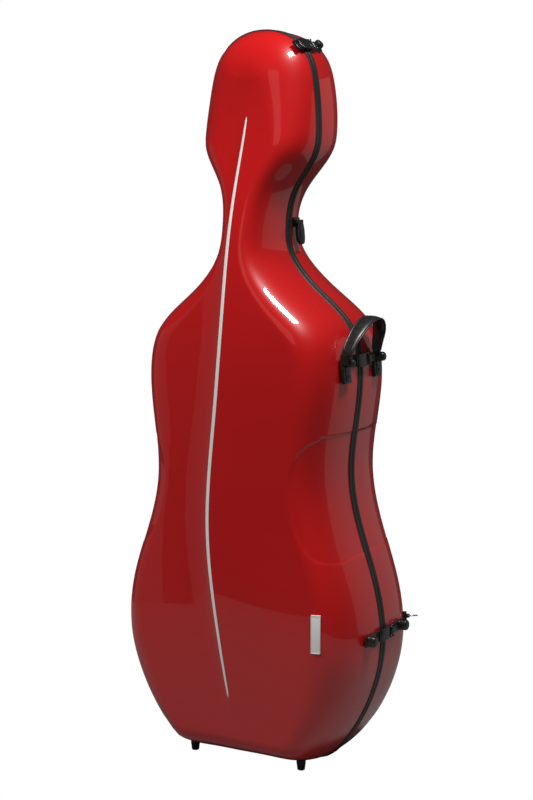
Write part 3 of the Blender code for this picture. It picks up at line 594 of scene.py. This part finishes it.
def round_edges(work, width, segments):
    """Round over every real edge; returns the vertices and faces."""
    edges = [e for e in work.edges if len(e.link_faces) == 2 and e.calc_face_angle(0) > REAL_EDGE]
    bmesh.ops.bevel(work, geom=edges, offset=width, segments=segments, profile=0.5, affect="EDGES",
                    clamp_overlap=True)
    verts = [tuple(v.co) for v in work.verts]
    work.verts.index_update()
    faces = [tuple(v.index for v in f.verts) for f in work.faces]
    work.free()
    return verts, faces


def rounded(verts, faces, width, segments=3):
    """The same solid with every real edge rounded over."""
    mesh = bpy.data.meshes.new("rounding")
    mesh.from_pydata(verts, [], faces)
    work = bmesh.new()
    work.from_mesh(mesh)
    bmesh.ops.recalc_face_normals(work, faces=work.faces)
    solid = round_edges(work, width, segments)
    bpy.data.meshes.remove(mesh)
    return solid


def prism(place, profile, low, high, width=0.0, segments=3):
    """A flat outline in the first two directions, run along the third, its edges rounded."""
    verts = [place.point(a, b, low) for a, b in profile]
    verts += [place.point(a, b, high) for a, b in profile]
    n = len(profile)
    faces = [tuple(range(n)), tuple(range(2 * n - 1, n - 1, -1))]
    faces += [(i, (i + 1) % n, n + (i + 1) % n, n + i) for i in range(n)]
    if width:
        return rounded(verts, faces, width, segments)
    return verts, faces


def box(place, a, b, c, width=0.0, segments=3):
    outline = [(a[0], b[0]), (a[1], b[0]), (a[1], b[1]), (a[0], b[1])]
    return prism(place, outline, c[0], c[1], width, segments)


def turned(place, rings, sides=40, hole=False):
    """A round piece about the third direction; rings are (radius, height) from end to end."""
    verts = []
    for radius, height in rings:
        for k in range(sides):
            angle = 2 * math.pi * k / sides
            verts.append(place.point(radius * math.cos(angle), radius * math.sin(angle), height))
    faces = []
    last = len(rings) - 1
    for r in range(last + 1 if hole else last):
        one = r * sides
        two = ((r + 1) % len(rings)) * sides
        for k in range(sides):
            m = (k + 1) % sides
            faces.append((one + k, one + m, two + m, two + k))
    if not hole:
        faces.append(tuple(range(sides)))
        faces.append(tuple(range(last * sides + sides - 1, last * sides - 1, -1)))
    return verts, faces


def shifted(place, a, b, c):
    """The same directions at another point."""
    return Place(place.point(a, b, c), *place.axes)


def run_faces(count, n, closed=False):
    """Faces of a section of n points, repeated count times; the ends are capped unless it closes."""
    faces = []
    for k in range(count if closed else count - 1):
        j = (k + 1) % count
        for m in range(n):
            p = (m + 1) % n
            faces.append((k * n + m, j * n + m, j * n + p, k * n + p))
    if not closed:
        faces.append(tuple(range(n)))
        faces.append(tuple(range(count * n - 1, count * n - n - 1, -1)))
    return faces


def swept(points, ups, section, closed=False):
    """A section run along a path; ups give its second direction at each point."""
    points = np.array(points, float)
    verts = []
    count = len(points)
    for k in range(count):
        if closed:
            ahead = points[(k + 1) % count] - points[k - 1]
        else:
            ahead = points[min(k + 1, count - 1)] - points[max(k - 1, 0)]
        ahead /= np.linalg.norm(ahead)
        up = np.array(ups[k], float)
        up -= ahead * (up @ ahead)
        up /= np.linalg.norm(up)
        side = np.cross(ahead, up)
        for a, b in section:
            verts.append(tuple(points[k] + side * a + up * b))
    return verts, run_faces(count, len(section), closed)


def circle(radius, sides=12):
    return [(radius * math.cos(2 * math.pi * k / sides), radius * math.sin(2 * math.pi * k / sides))
            for k in range(sides)]


def smooth_path(points, count):
    """Even steps along a spline through the points."""
    points = np.array(points, float)
    steps = np.concatenate([[0], np.cumsum(np.linalg.norm(np.diff(points, axis=0), axis=1))])
    even = np.linspace(0, steps[-1], count)
    found = []
    for k in range(points.shape[1]):
        first = (points[1, k] - points[0, k]) / steps[1]
        last = (points[-1, k] - points[-2, k]) / (steps[-1] - steps[-2])
        found.append(clamped_spline(steps, points[:, k], first, last)(even))
    return np.stack(found, axis=1)


# ---------------------------------------------------------------- shells, seals and linings
def closed_skins(shell, loop, outset, inset, rim, outer_reaches):
    """An outer and an inner skin, joined to each other round the rim."""
    outer = skin(shell, loop, outset, rim, outer_reaches)
    inner = skin(shell, loop, inset, rim, coarse_reaches)
    shift = len(outer[0])
    verts, faces = joined(outer, inner)
    for i in range(loop.count):
        j = (i + 1) % loop.count
        faces.append((i, j, shift + j, shift + i))
    return verts, faces


def build_shell(name, shell, body):
    solid = closed_skins(shell, FINE_LOOP, 0.0, WALL, RIM, fine_reaches)
    new_piece(name + "_fine", *solid, "shell_gloss_red", body, [name], sharp=60)


FINE_LOOP = Loop((14, 20), True)
build_shell("front_shell", FRONT, "lid")
build_shell("back_shell", BACK, "body")


def build_seal(name, side, body):
    """Rubber strip with rounded lips; the section is (outward, away from the seam)."""
    section = [(-0.0065, 0.0004), (-0.0002, 0.0004), (0.0006, 0.0007), (0.0012, 0.0015),
               (0.0015, 0.0030), (0.0015, 0.0080), (0.0013, 0.0095), (0.0008, 0.0104),
               (-0.0001, 0.0108), (-0.0065, 0.0108)]
    verts = []
    for x, z, nx, nz in FINE_LOOP.points:
        for out, along in section:
            verts.append((x - nx * out, PARTING_Y + side * along, z - nz * out))
    faces = run_faces(FINE_LOOP.count, len(section), True)
    new_piece(name + "_fine", verts, faces, "seal_rubber", body, [name], sharp=70)


build_seal("lid_seal", -1, "lid")
build_seal("body_seal", 1, "body")


def build_lining(name, shell, body):
    """Padded lining: an even layer that follows the inside of the shell."""
    solid = closed_skins(shell, Loop((10, 14), False), LINING_OUT, LINING_IN, LINING_RIM, coarse_reaches)
    made = new_piece(name + "_fine", *solid, "lining_cloth", body, [name], sharp=50)


build_lining("lid_lining", FRONT, "lid")
build_lining("body_lining", BACK, "body")


# ---------------------------------------------------------------- trim on the lid
def build_inlay():
    """Silver strip along the ridge, pointed at both ends, with a low rounded face."""
    zs = np.linspace(INLAY_LOW, INLAY_HIGH, 180)
    verts = []
    shape = [(-1.0, 0.0), (-0.85, 0.55), (-0.45, 0.95), (0.0, 1.0), (0.45, 0.95), (0.85, 0.55), (1.0, 0.0),
             (0.0, -1.6)]
    for k, z in enumerate(zs):
        part = k / (len(zs) - 1)
        half = 0.0003 + 0.0031 * math.sin(math.pi * part) ** 0.20
        x = float(ridge_x(z))
        near = PARTING_Y - float(depth_at(FRONT, x, z))
        tilt = 0.20 * half
        for a, b in shape:
            verts.append((x + a * half + 0.0002, near - 0.0007 * b - tilt * a * 0.5, z))
    faces = run_faces(len(zs), len(shape))
    new_piece("ridge_inlay_fine", verts, faces, "silver_trim", "lid", ["ridge_inlay"], sharp=70)


build_inlay()


def skin_place(shell, x, z, reach=0.006):
    """Place on the outer skin: sideways, up, and straight out of the surface."""
    across = (skin_depth(shell, x + reach, z) - skin_depth(shell, x - reach, z)) / (2 * reach)
    upward = (skin_depth(shell, x, z + reach) - skin_depth(shell, x, z - reach)) / (2 * reach)
    side = shell["side"]
    sideways = np.array([1, side * across, 0])
    sideways /= np.linalg.norm(sideways)
    up = np.array([0, side * upward, 1])
    out = side * np.cross(up, sideways)
    out /= np.linalg.norm(out)
    up = np.cross(out, sideways)
    up *= math.copysign(1, up[2])
    return Place((x, PARTING_Y + side * skin_depth(shell, x, z), z), sideways, up, out)


def build_badge():
    """Blank plate: a brushed plate with a thin raised border round its face."""
    place = skin_place(FRONT, *BADGE_AT)
    plate = box(place, (-0.0083, 0.0083), (-0.0343, 0.0343), (-0.0030, 0.0022), 0.0007, 3)
    border = []
    for a, b in (((-0.0083, -0.0070), (-0.0343, 0.0343)), ((0.0070, 0.0083), (-0.0343, 0.0343)),
                 ((-0.0083, 0.0083), (-0.0343, -0.0330)), ((-0.0083, 0.0083), (0.0330, 0.0343))):
        border.append(box(place, a, b, (0.0010, 0.0028), 0.0004, 2))
    new_piece("badge_plate_fine", *joined(plate, *border), "silver_trim", "lid", ["badge_plate"])


build_badge()


# ---------------------------------------------------------------- latches
def edge_place(z):
    """Place on the right edge: along Y, outward, then up along the edge."""
    x, z, nx, nz = at_height(z)
    return Place((x, PARTING_Y, z), (0, 1, 0), (-nx, 0, -nz), (nz, 0, -nx))


def stand_out(place, y, out=0.0):
    """Place for round pieces whose axis stands out from the edge."""
    u, v, w = place.axes
    return Place(place.point(y, out, 0), w, u, v)


def boss(place, y, radius, reach):
    """Round cap: straight collar, tapered side and a soft crown."""
    rings = [(radius * 1.0, 0.0006), (radius * 1.0, 0.0030), (radius * 0.985, reach * 0.30),
             (radius * 0.965, reach * 0.62), (radius * 0.93, reach * 0.82), (radius * 0.86, reach * 0.92),
             (radius * 0.74, reach * 0.975), (radius * 0.5, reach), (radius * 0.2, reach)]
    return turned(stand_out(place, y), rings, 48)


PIVOT = (0.0210, 0.0064)
LINK_PIVOT = (0.0275, 0.0064)


def eye(place, centre, outer, inner, low, high, sides=28):
    """A short tube about the third direction."""
    spot = shifted(place, centre[0], centre[1], 0)
    rings = [(inner, low), (outer - 0.0003, low), (outer, low + 0.0003), (outer, high - 0.0003),
             (outer - 0.0003, high), (inner, high)]
    return turned(spot, rings, sides, hole=True)


def build_latch(word, z, front_end, rear_end, tip, front_boss=None, rear_boss=None):
    """Over-centre catch; places run along Y from the seam and tip is the lever's end."""
    place = edge_place(z)
    low = -0.0012
    # keeper: plate, grip ribs and the wall behind the link's bar
    solids = [box(place, (front_end, -0.0122), (low, 0.0032), (-0.0095, 0.0095), 0.0010),
              box(place, (-0.0237, -0.0212), (0.0, 0.0070), (-0.0092, 0.0092), 0.0008)]
    for rib in (-0.0265, -0.0295):
        ends = (rib - 0.0009, rib + 0.0009)
        solids.append(box(place, ends, (0.0, 0.0046), (-0.0090, 0.0090), 0.0005, 2))
    if front_boss:
        solids.append(boss(place, front_boss, 0.0104, 0.0170))
    new_piece("latch_keeper_%s_fine" % word, *joined(*solids), "fitting_black", "lid",
              ["latch_keeper_" + word])
    # base: plate, two eared lugs and the rear boss
    solids = [box(place, (0.0122, rear_end), (low, 0.0032), (-0.0095, 0.0095), 0.0010)]
    for ends in ((-0.0090, -0.0063), (0.0063, 0.0090)):
        solids.append(eye(place, PIVOT, 0.0042, 0.0017, *ends))
        lug = (PIVOT[0] - 0.0040, PIVOT[0] + 0.0040)
        solids.append(box(place, lug, (0.0010, 0.0046), ends, 0.0004, 2))
    if rear_boss:
        solids.append(boss(place, *rear_boss))
    new_piece("latch_base_%s_fine" % word, *joined(*solids), "fitting_black", "body",
              ["latch_base_" + word])
    # lever: curved thumb piece, its nose round about the pin, with two studs
    lever = [(tip - 0.0052, 0.0040), (tip - 0.0012, 0.0052), (tip, 0.0086), (tip - 0.0012, 0.0094),
             (tip - 0.0037, 0.0084), (tip - 0.0120, 0.0098), (0.0205, 0.0100)]
    for angle in np.radians([150, 170, 190, 210, 230, 250, 270]):
        lever.append((PIVOT[0] + 0.0029 * math.cos(angle), PIVOT[1] + 0.0029 * math.sin(angle)))
    stud = [(0.0010, -0.0118), (0.0013, -0.0115), (0.0013, 0.0115), (0.0010, 0.0118)]
    solids = [prism(place, lever, -0.0057, 0.0057, 0.0005),
              turned(shifted(place, *LINK_PIVOT, 0), stud, 20)]
    new_piece("latch_lever_%s_fine" % word, *joined(*solids), "fitting_black", "lever_" + word,
              ["latch_lever_" + word])
    # link: cover over the seam, two arms with eyes, and the bar that rests in the keeper
    cover = [(-0.0204, 0.0037), (-0.0176, 0.0037), (-0.0168, 0.0060), (0.0140, 0.0060),
             (0.0140, 0.0080), (0.0060, 0.0086), (-0.0120, 0.0088), (-0.0204, 0.0074)]
    solids = [prism(place, cover, -0.0116, 0.0116, 0.0008)]
    for side in (-1, 1):
        ends = sorted((side * 0.0094, side * 0.0116))
        arm = [(0.0080, 0.0058), (0.0262, 0.0044), (0.0262, 0.0084), (0.0080, 0.0078)]
        solids.append(prism(place, arm, *ends, 0.0004, 2))
        solids.append(eye(place, LINK_PIVOT, 0.0030, 0.0014, *ends))
    new_piece("latch_link_%s_fine" % word, *joined(*solids), "fitting_black", "link_" + word,
              ["latch_link_" + word])


build_latch("head", 1.300, -0.0325, 0.0560, 0.0335, rear_boss=(0.0455, 0.0090, 0.0135))
build_latch("handle", 0.749, -0.0465, 0.0446, 0.0430)
build_latch("lower", 0.256, -0.0720, 0.0810, 0.0452, front_boss=-0.0605,
            rear_boss=(0.0695, 0.0104, 0.0175))


# ---------------------------------------------------------------- side handle
HANDLE = edge_place(0.749)
GRIP_OUT = 0.0110       # the handle turns about a line this far off the edge
GRIP_UP = 0.0125        # and this far above the middle of the bosses
GRIP_LEAN = math.radians(12)
LEG_HALF = 0.0140
STRAP_END = 0.016       # flat, unsewn stretch at each end of the strap
STITCH_EVERY = 0.0042
STITCH_LONG = 0.0028


def build_handle_bracket(word, y_boss, radius, cheek, toward, body):
    """Leg plate on the wall, round boss, and a cheek whose pin points at the seam."""
    leg = (y_boss - LEG_HALF, y_boss + LEG_HALF)
    raised = (y_boss - 0.0078, y_boss + 0.0078)
    cheek_ends = sorted((cheek, cheek - toward * 0.0022))
    solids = [box(HANDLE, leg, (-0.0016, 0.0048), (-0.0355, 0.0040), 0.0014, 4),
              box(HANDLE, raised, (0.0030, 0.0060), (-0.0315, -0.0020), 0.0010, 3),
              boss(HANDLE, y_boss, radius, 0.0207),
              box(HANDLE, cheek_ends, (0.0012, 0.0150), (-0.0020, 0.0172), 0.0009, 3)]
    u, v, w = HANDLE.axes
    spot = Place(HANDLE.point(cheek, GRIP_OUT, GRIP_UP), v, w, u)
    solids.append(turned(spot, [(0.0024, -toward * 0.0010), (0.0024, toward * 0.0043),
                                (0.0019, toward * 0.0046)], 24))
    screw = Place(HANDLE.point(y_boss, 0.0060, -0.0240), u, w, v)
    head = [(0.0030, -0.0010), (0.0030, 0.0004), (0.0024, 0.0009), (0.0008, 0.0011)]
    solids.append(turned(screw, head, 24))
    new_piece("handle_bracket_%s_fine" % word, *joined(*solids), "fitting_black", body,
              ["handle_bracket_" + word])


build_handle_bracket("front", -0.0610, 0.0070, -0.0743, 1, "lid")
build_handle_bracket("rear", 0.0610, 0.0088, 0.0505, -1, "body")

STRAP_PATH = [(-0.0715, 0.0080), (-0.0715, 0.0125), (-0.0702, 0.0200), (-0.0630, 0.0300),
              (-0.0490, 0.0440), (-0.0310, 0.0580), (-0.0080, 0.0700), (0.0140, 0.0745),
              (0.0340, 0.0712), (0.0460, 0.0610), (0.0508, 0.0470), (0.0490, 0.0340),
              (0.0476, 0.0230), (0.0475, 0.0125), (0.0475, 0.0080)]


def strap_width(part):
    """Half width along the strap: narrow at the pins, wide where the hand goes."""
    return 0.0088 + 0.0068 * max(0.0, math.sin(math.pi * part))


def strap_section(fullness):
    """Shares of the half width, and heights: raised edges, a sewn groove and a padded middle."""
    outline = [(-1.00, 0.0), (-0.98, 0.0010), (-0.91, 0.0015), (-0.82, 0.0014), (-0.77, 0.0008),
               (-0.72, 0.0008), (-0.67, 0.0015), (-0.48, 0.0015 + 0.0008 * fullness),
               (-0.24, 0.0015 + 0.0012 * fullness), (0.0, 0.0015 + 0.0014 * fullness)]
    top = outline + [(-a, b) for a, b in outline[-2::-1]]
    under = [(a, -0.86 * b) for a, b in top[-2:0:-1]]
    return top + under


def build_side_handle():
    u, v, w = HANDLE.axes
    up = w * math.cos(GRIP_LEAN) + v * math.sin(GRIP_LEAN)
    wide = v * math.cos(GRIP_LEAN) - w * math.sin(GRIP_LEAN)
    place = Place(HANDLE.point(0, GRIP_OUT, GRIP_UP), u, up, wide)
    path = smooth_path(STRAP_PATH, 120)
    tangent = np.gradient(path, axis=0)
    tangent /= np.linalg.norm(tangent, axis=1)[:, None]
    normal = np.stack([-tangent[:, 1], tangent[:, 0]], axis=1)
    along = np.concatenate([[0], np.cumsum(np.linalg.norm(np.diff(path, axis=0), axis=1))])
    total = along[-1]
    verts = []
    count = len(path)
    for k in range(count):
        ends = min(along[k], total - along[k])
        full = min(1.0, max(0.0, (ends - STRAP_END) / 0.030))
        full = full * full * (3 - 2 * full)
        half = strap_width(along[k] / total)
        round_end = min(1.0, math.sqrt(max(0.02, min(1.0, ends / 0.009))) + 0.15)
        for a, b in strap_section(full):
            spot = path[k] + normal[k] * b
            verts.append(place.point(spot[0], spot[1] - GRIP_UP, a * half * round_end))
    faces = run_faces(count, len(strap_section(0)))
    made = new_piece("side_handle_fine", verts, faces, "leather_black", "side_handle", ["side_handle"],
                     sharp=55)
    # stitches along both edges, on both faces
    solids = []
    for start in np.arange(STRAP_END, total - STRAP_END, STITCH_EVERY):
        for face, lift in ((1, 0.0010), (-1, 0.0009)):
            for edge in (-0.745, 0.745):
                points = []
                half = strap_width(start / total)
                for step in np.linspace(0, STITCH_LONG, 5):
                    here = [np.interp(start + step, along, path[:, i]) for i in (0, 1)]
                    out = [np.interp(start + step, along, normal[:, i]) for i in (0, 1)]
                    rise = face * (lift + 0.0003 * math.sin(math.pi * step / STITCH_LONG))
                    points.append(place.point(here[0] + out[0] * rise, here[1] - GRIP_UP + out[1] * rise,
                                              edge * half))
                solids.append(swept(points, [wide] * 5, circle(0.00038, 6)))
    new_piece("side_handle_stitches", *joined(*solids), "leather_black", "side_handle", look=THREAD)


build_side_handle()


# ---------------------------------------------------------------- neck handle
def build_neck_handle():
    """Small folded leather loop hanging from a pinned bracket behind the seam."""
    x, z, nx, nz = at_height(0.990)
    place = Place((x, PARTING_Y, z), (0, 1, 0), (1, 0, 0), (0, 0, 1))
    solids = [box(place, (0.0125, 0.0345), (-0.0010, 0.0044), (-0.0090, 0.0080), 0.0012)]
    for start in (0.0127, 0.0318):
        solids.append(box(place, (start, start + 0.0018), (0.0034, 0.0122), (-0.0040, 0.0040), 0.0008))
    new_piece("neck_handle_bracket_fine", *joined(*solids), "fitting_black", "body",
              ["neck_handle_bracket"])
    hub = Place(place.point(0, 0.0092, 0.0), (1, 0, 0), (0, 0, 1), (0, 1, 0))
    middle = [(0.0030 * math.cos(a), 0.0030 * math.sin(a)) for a in np.radians([180, 135, 90, 45, 0])]
    path = middle[::-1] + [(-0.0032, -0.010), (-0.0028, -0.022), (-0.0008, -0.034)]
    path += [(0.0030, -0.0405), (0.0066, -0.0375), (0.0070, -0.028), (0.0058, -0.014), (0.0038, -0.004)]
    path = np.array(path)
    count = 64
    closed = np.vstack([path, path[:1]])
    steps = np.concatenate([[0], np.cumsum(np.linalg.norm(np.diff(closed, axis=0), axis=1))])
    even = np.linspace(0, steps[-1], count, endpoint=False)
    ring = np.stack([np.interp(even, steps, closed[:, i]) for i in (0, 1)], axis=1)
    for _ in range(3):
        ring = (np.roll(ring, 1, axis=0) + 2 * ring + np.roll(ring, -1, axis=0)) / 4
    points = [hub.point(a, b, 0.0232) for a, b in ring]
    section = [(-0.0082, 0.0), (-0.0079, 0.0008), (-0.0070, 0.0011), (-0.0060, 0.0007), (-0.0045, 0.0012),
               (0.0, 0.0015), (0.0045, 0.0012), (0.0060, 0.0007), (0.0070, 0.0011), (0.0079, 0.0008),
               (0.0082, 0.0), (0.0070, -0.0009), (0.0, -0.0010), (-0.0070, -0.0009)]
    centre = np.mean(points, axis=0)
    ups = [np.array(p) - centre for p in points]
    verts, faces = swept(points, ups, section, closed=True)
    made = new_piece("neck_handle_fine", verts, faces, "leather_black", "neck_handle", ["neck_handle"],
                     sharp=60)


build_neck_handle()


# ---------------------------------------------------------------- feet
def build_feet():
    for word, body in (("front", "lid"), ("rear", "body")):
        for hand in ("left", "right"):
            name = "foot_%s_%s" % (word, hand)
            low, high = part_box(name)
            middle = ((low[0] + high[0]) / 2, (low[1] + high[1]) / 2, 0)
            spot = Place(middle, (1, 0, 0), (0, 1, 0), (0, 0, 1))
            top = high[2] + 0.0050
            rings = [(0.0056, 0.0), (0.0064, 0.0004), (0.0069, 0.0014), (0.0072, 0.0030), (0.0076, 0.0070),
                     (0.0080, 0.0105), (0.0083, 0.0112), (0.0085, 0.0122), (0.0085, 0.0150), (0.0085, top)]
            new_piece(name + "_fine", *turned(spot, rings, 40), "foot_rubber", body, [name], sharp=35)


build_feet()


# ---------------------------------------------------------------- carrying strap rings
RING_Z = 0.258
RING_SLANT = math.radians(15)


def build_strap_ring(hand):
    side = 1 if hand == "right" else -1
    step = 0.30
    x, z, nx, nz = at_height(RING_Z)
    x += nx * float(BACK["corner"](RING_Z)) * step
    deep = float(depth_at(BACK, x, RING_Z)) * curve_part(BACK, step, RING_Z)
    out = np.array([0.78 * side, 0.62, 0])
    level = np.array([0.62, -0.78 * side, 0])
    sideways = level * math.cos(RING_SLANT) + np.array([0, 0, side * math.sin(RING_SLANT)])
    spot = Place((side * x, PARTING_Y + deep, RING_Z), sideways, np.cross(sideways, out), out)
    barrel = Place(spot.point(0, 0, 0.0072), spot.axes[1], spot.axes[2], spot.axes[0])
    plate = box(spot, (-0.0118, 0.0118), (-0.0088, 0.0088), (-0.0030, 0.0040), 0.0014)
    web = box(spot, (-0.0066, 0.0066), (-0.0034, 0.0034), (0.0030, 0.0056), 0.0006, 2)
    tube = eye(barrel, (0, 0), 0.0040, 0.0017, -0.0070, 0.0070)
    new_piece("ring_saddle_%s_fine" % hand, *joined(plate, web, tube), "fitting_black", "body",
              ["ring_saddle_" + hand])
    path = [(-0.0095, 0.0), (-0.004, 0.0), (0.004, 0.0), (0.0095, 0.0)]
    for angle in np.radians(np.arange(-28, 209, 14)):
        path.append((0.0105 * math.cos(angle), 0.0070 + 0.0120 * math.sin(angle)))
    points = [barrel.point(0, b, a) for a, b in path]
    wire = swept(points, [barrel.axes[0]] * len(points), circle(0.0013, 14), True)
    new_piece("strap_ring_%s_fine" % hand, *wire, "steel_pins", "ring_" + hand, ["strap_ring_" + hand],
              sharp=60)


build_strap_ring("right")
build_strap_ring("left")


# ---------------------------------------------------------------- soft pieces inside
def build_soft(name, body, slot="lining_cloth", width=0.004):
    """A rounded version of a small padded CAD block."""
    source = frame["nodes"][name].data
    work = bmesh.new()
    work.from_mesh(source)
    bmesh.ops.dissolve_limit(work, angle_limit=0.05, verts=work.verts, edges=work.edges)
    solid = round_edges(work, width, 4)
    made = new_piece(name + "_fine", *solid, slot, body, [name], sharp=60)


build_soft("neck_cradle", "body", width=0.0035)
build_soft("neck_strap", "body", "leather_black", width=0.0007)
for hand in ("left", "right"):
    build_soft("waist_pad_" + hand, "body", width=0.006)
    build_soft("bow_tip_holder_" + hand, "lid", width=0.0012)
    build_soft("bow_frog_block_" + hand, "lid", width=0.0012)

# the CAD pieces whose shape stays get their finish and a fine rounding
slots = {entry["node"]: entry["material_slot"] for entry in frame["record"]["subparts"]}
KEPT = ["hinge_lid_leaf_", "hinge_body_leaf_", "hinge_pin_"]
kept_names = [start + word for start in KEPT for word in ("lower", "middle", "upper")]
kept_names += ["latch_pin_head", "latch_pin_handle", "latch_pin_lower", "neck_handle_pin"]
kept_names += ["bow_clip_left", "bow_clip_right"]
for name in kept_names:
    kept = frame["nodes"][name]
    kept.data.materials.clear()
    kept.data.materials.append(MATERIALS[slots[name]])
    rounding = kept.modifiers.new("rounding", "BEVEL")
    rounding.width = 0.0004
    rounding.segments = 2
    rounding.limit_method = "ANGLE"
    rounding.angle_limit = math.radians(30)

# ---------------------------------------------------------------- studio
CAMERA_YAW = math.radians(29.4)
CAMERA_PITCH = math.radians(8.0)
CAMERA_AWAY = 3.216
CAMERA_AIM = 0.664
level = math.cos(CAMERA_PITCH)
look = np.array([-math.sin(CAMERA_YAW) * level, math.cos(CAMERA_YAW) * level, -math.sin(CAMERA_PITCH)])
camera_data = bpy.data.cameras.new("camera")
camera_data.lens = 78.75
camera_data.sensor_width = 36.0
camera = bpy.data.objects.new("camera", camera_data)
camera.location = np.array([0, PARTING_Y, CAMERA_AIM]) - look * CAMERA_AWAY
camera.rotation_euler = (math.pi / 2 - CAMERA_PITCH, 0, CAMERA_YAW)
bpy.context.scene.collection.objects.link(camera)
bpy.context.scene.camera = camera


FLOOR_REACH = 1.42      # the floor under the case ends here
FLOOR_GREY = 0.31


def build_floor():
    """Round mid-grey floor: the case mirrors it, and the camera sees the plain white backdrop."""
    turns = np.radians(np.arange(0, 360, 4))
    ring = [(FLOOR_REACH * math.cos(a), FLOOR_REACH * math.sin(a), 0) for a in turns]
    mesh = bpy.data.meshes.new("floor")
    mesh.from_pydata(ring, [], [tuple(range(len(ring)))])
    mesh.materials.append(new_material("floor_grey", (FLOOR_GREY,) * 3, 0.8)[0])
    floor = bpy.data.objects.new("floor", mesh)
    bpy.context.scene.collection.objects.link(floor)
    floor.visible_camera = False


build_floor()


def area_light(name, place, aim, size, power, mirrored=True):
    """Soft box that the camera does not see; mirrored says whether shiny skins show it."""
    data = bpy.data.lights.new(name, "AREA")
    data.shape = "RECTANGLE"
    data.size, data.size_y = size
    data.energy = power
    light = bpy.data.objects.new(name, data)
    light.location = place
    ahead = np.array(aim, float) - np.array(place, float)
    ahead /= np.linalg.norm(ahead)
    flat = math.hypot(ahead[0], ahead[1])
    light.rotation_euler = (math.atan2(flat, -ahead[2]), 0, math.atan2(ahead[1], ahead[0]) - math.pi / 2)
    light.visible_camera = False
    light.visible_glossy = mirrored
    bpy.context.scene.collection.objects.link(light)


area_light("key", (1.10, -0.15, 3.0), (0.05, 0, 0.9), (0.62, 0.40), 50)
area_light("front", (-0.5, -2.0, 3.0), (0, 0, 1.0), (1.0, 1.0), 52, mirrored=False)
area_light("head panel", (0.7, -3.2, 2.65), (0, 0, 1.2), (1.5, 1.1), 2.6)
area_light("left wall", (-2.4, -1.25, 0.5), (0, 0, 0.5), (2.7, 2.2), 3.0)
area_light("right wall", (1.9, 2.9, 0.6), (0, 0, 0.6), (2.6, 2.6), 4.5)

AROUND_SOFT = 0.12      # brightness of the room for matt surfaces
AROUND_SHARP = 0.030    # and as mirrored in shiny ones
world = bpy.data.worlds.new("studio")
world.use_nodes = True
tree = world.node_tree
background = tree.nodes["Background"]
sight = node(tree, "ShaderNodeLightPath")
indoors = node(tree, "ShaderNodeMix", data_type="RGBA")
tree.links.new(sight.outputs["Is Diffuse Ray"], indoors.inputs["Factor"])
indoors.inputs["A"].default_value = (AROUND_SHARP, AROUND_SHARP, AROUND_SHARP, 1)
indoors.inputs["B"].default_value = (AROUND_SOFT, AROUND_SOFT, AROUND_SOFT, 1)
seen = node(tree, "ShaderNodeMix", data_type="RGBA")
tree.links.new(sight.outputs["Is Camera Ray"], seen.inputs["Factor"])
tree.links.new(indoors.outputs["Result"], seen.inputs["A"])
seen.inputs["B"].default_value = (1.0, 1.0, 1.0, 1)
tree.links.new(seen.outputs["Result"], background.inputs["Color"])
bpy.context.scene.world = world
bpy.context.scene.view_settings.view_transform = "Standard"
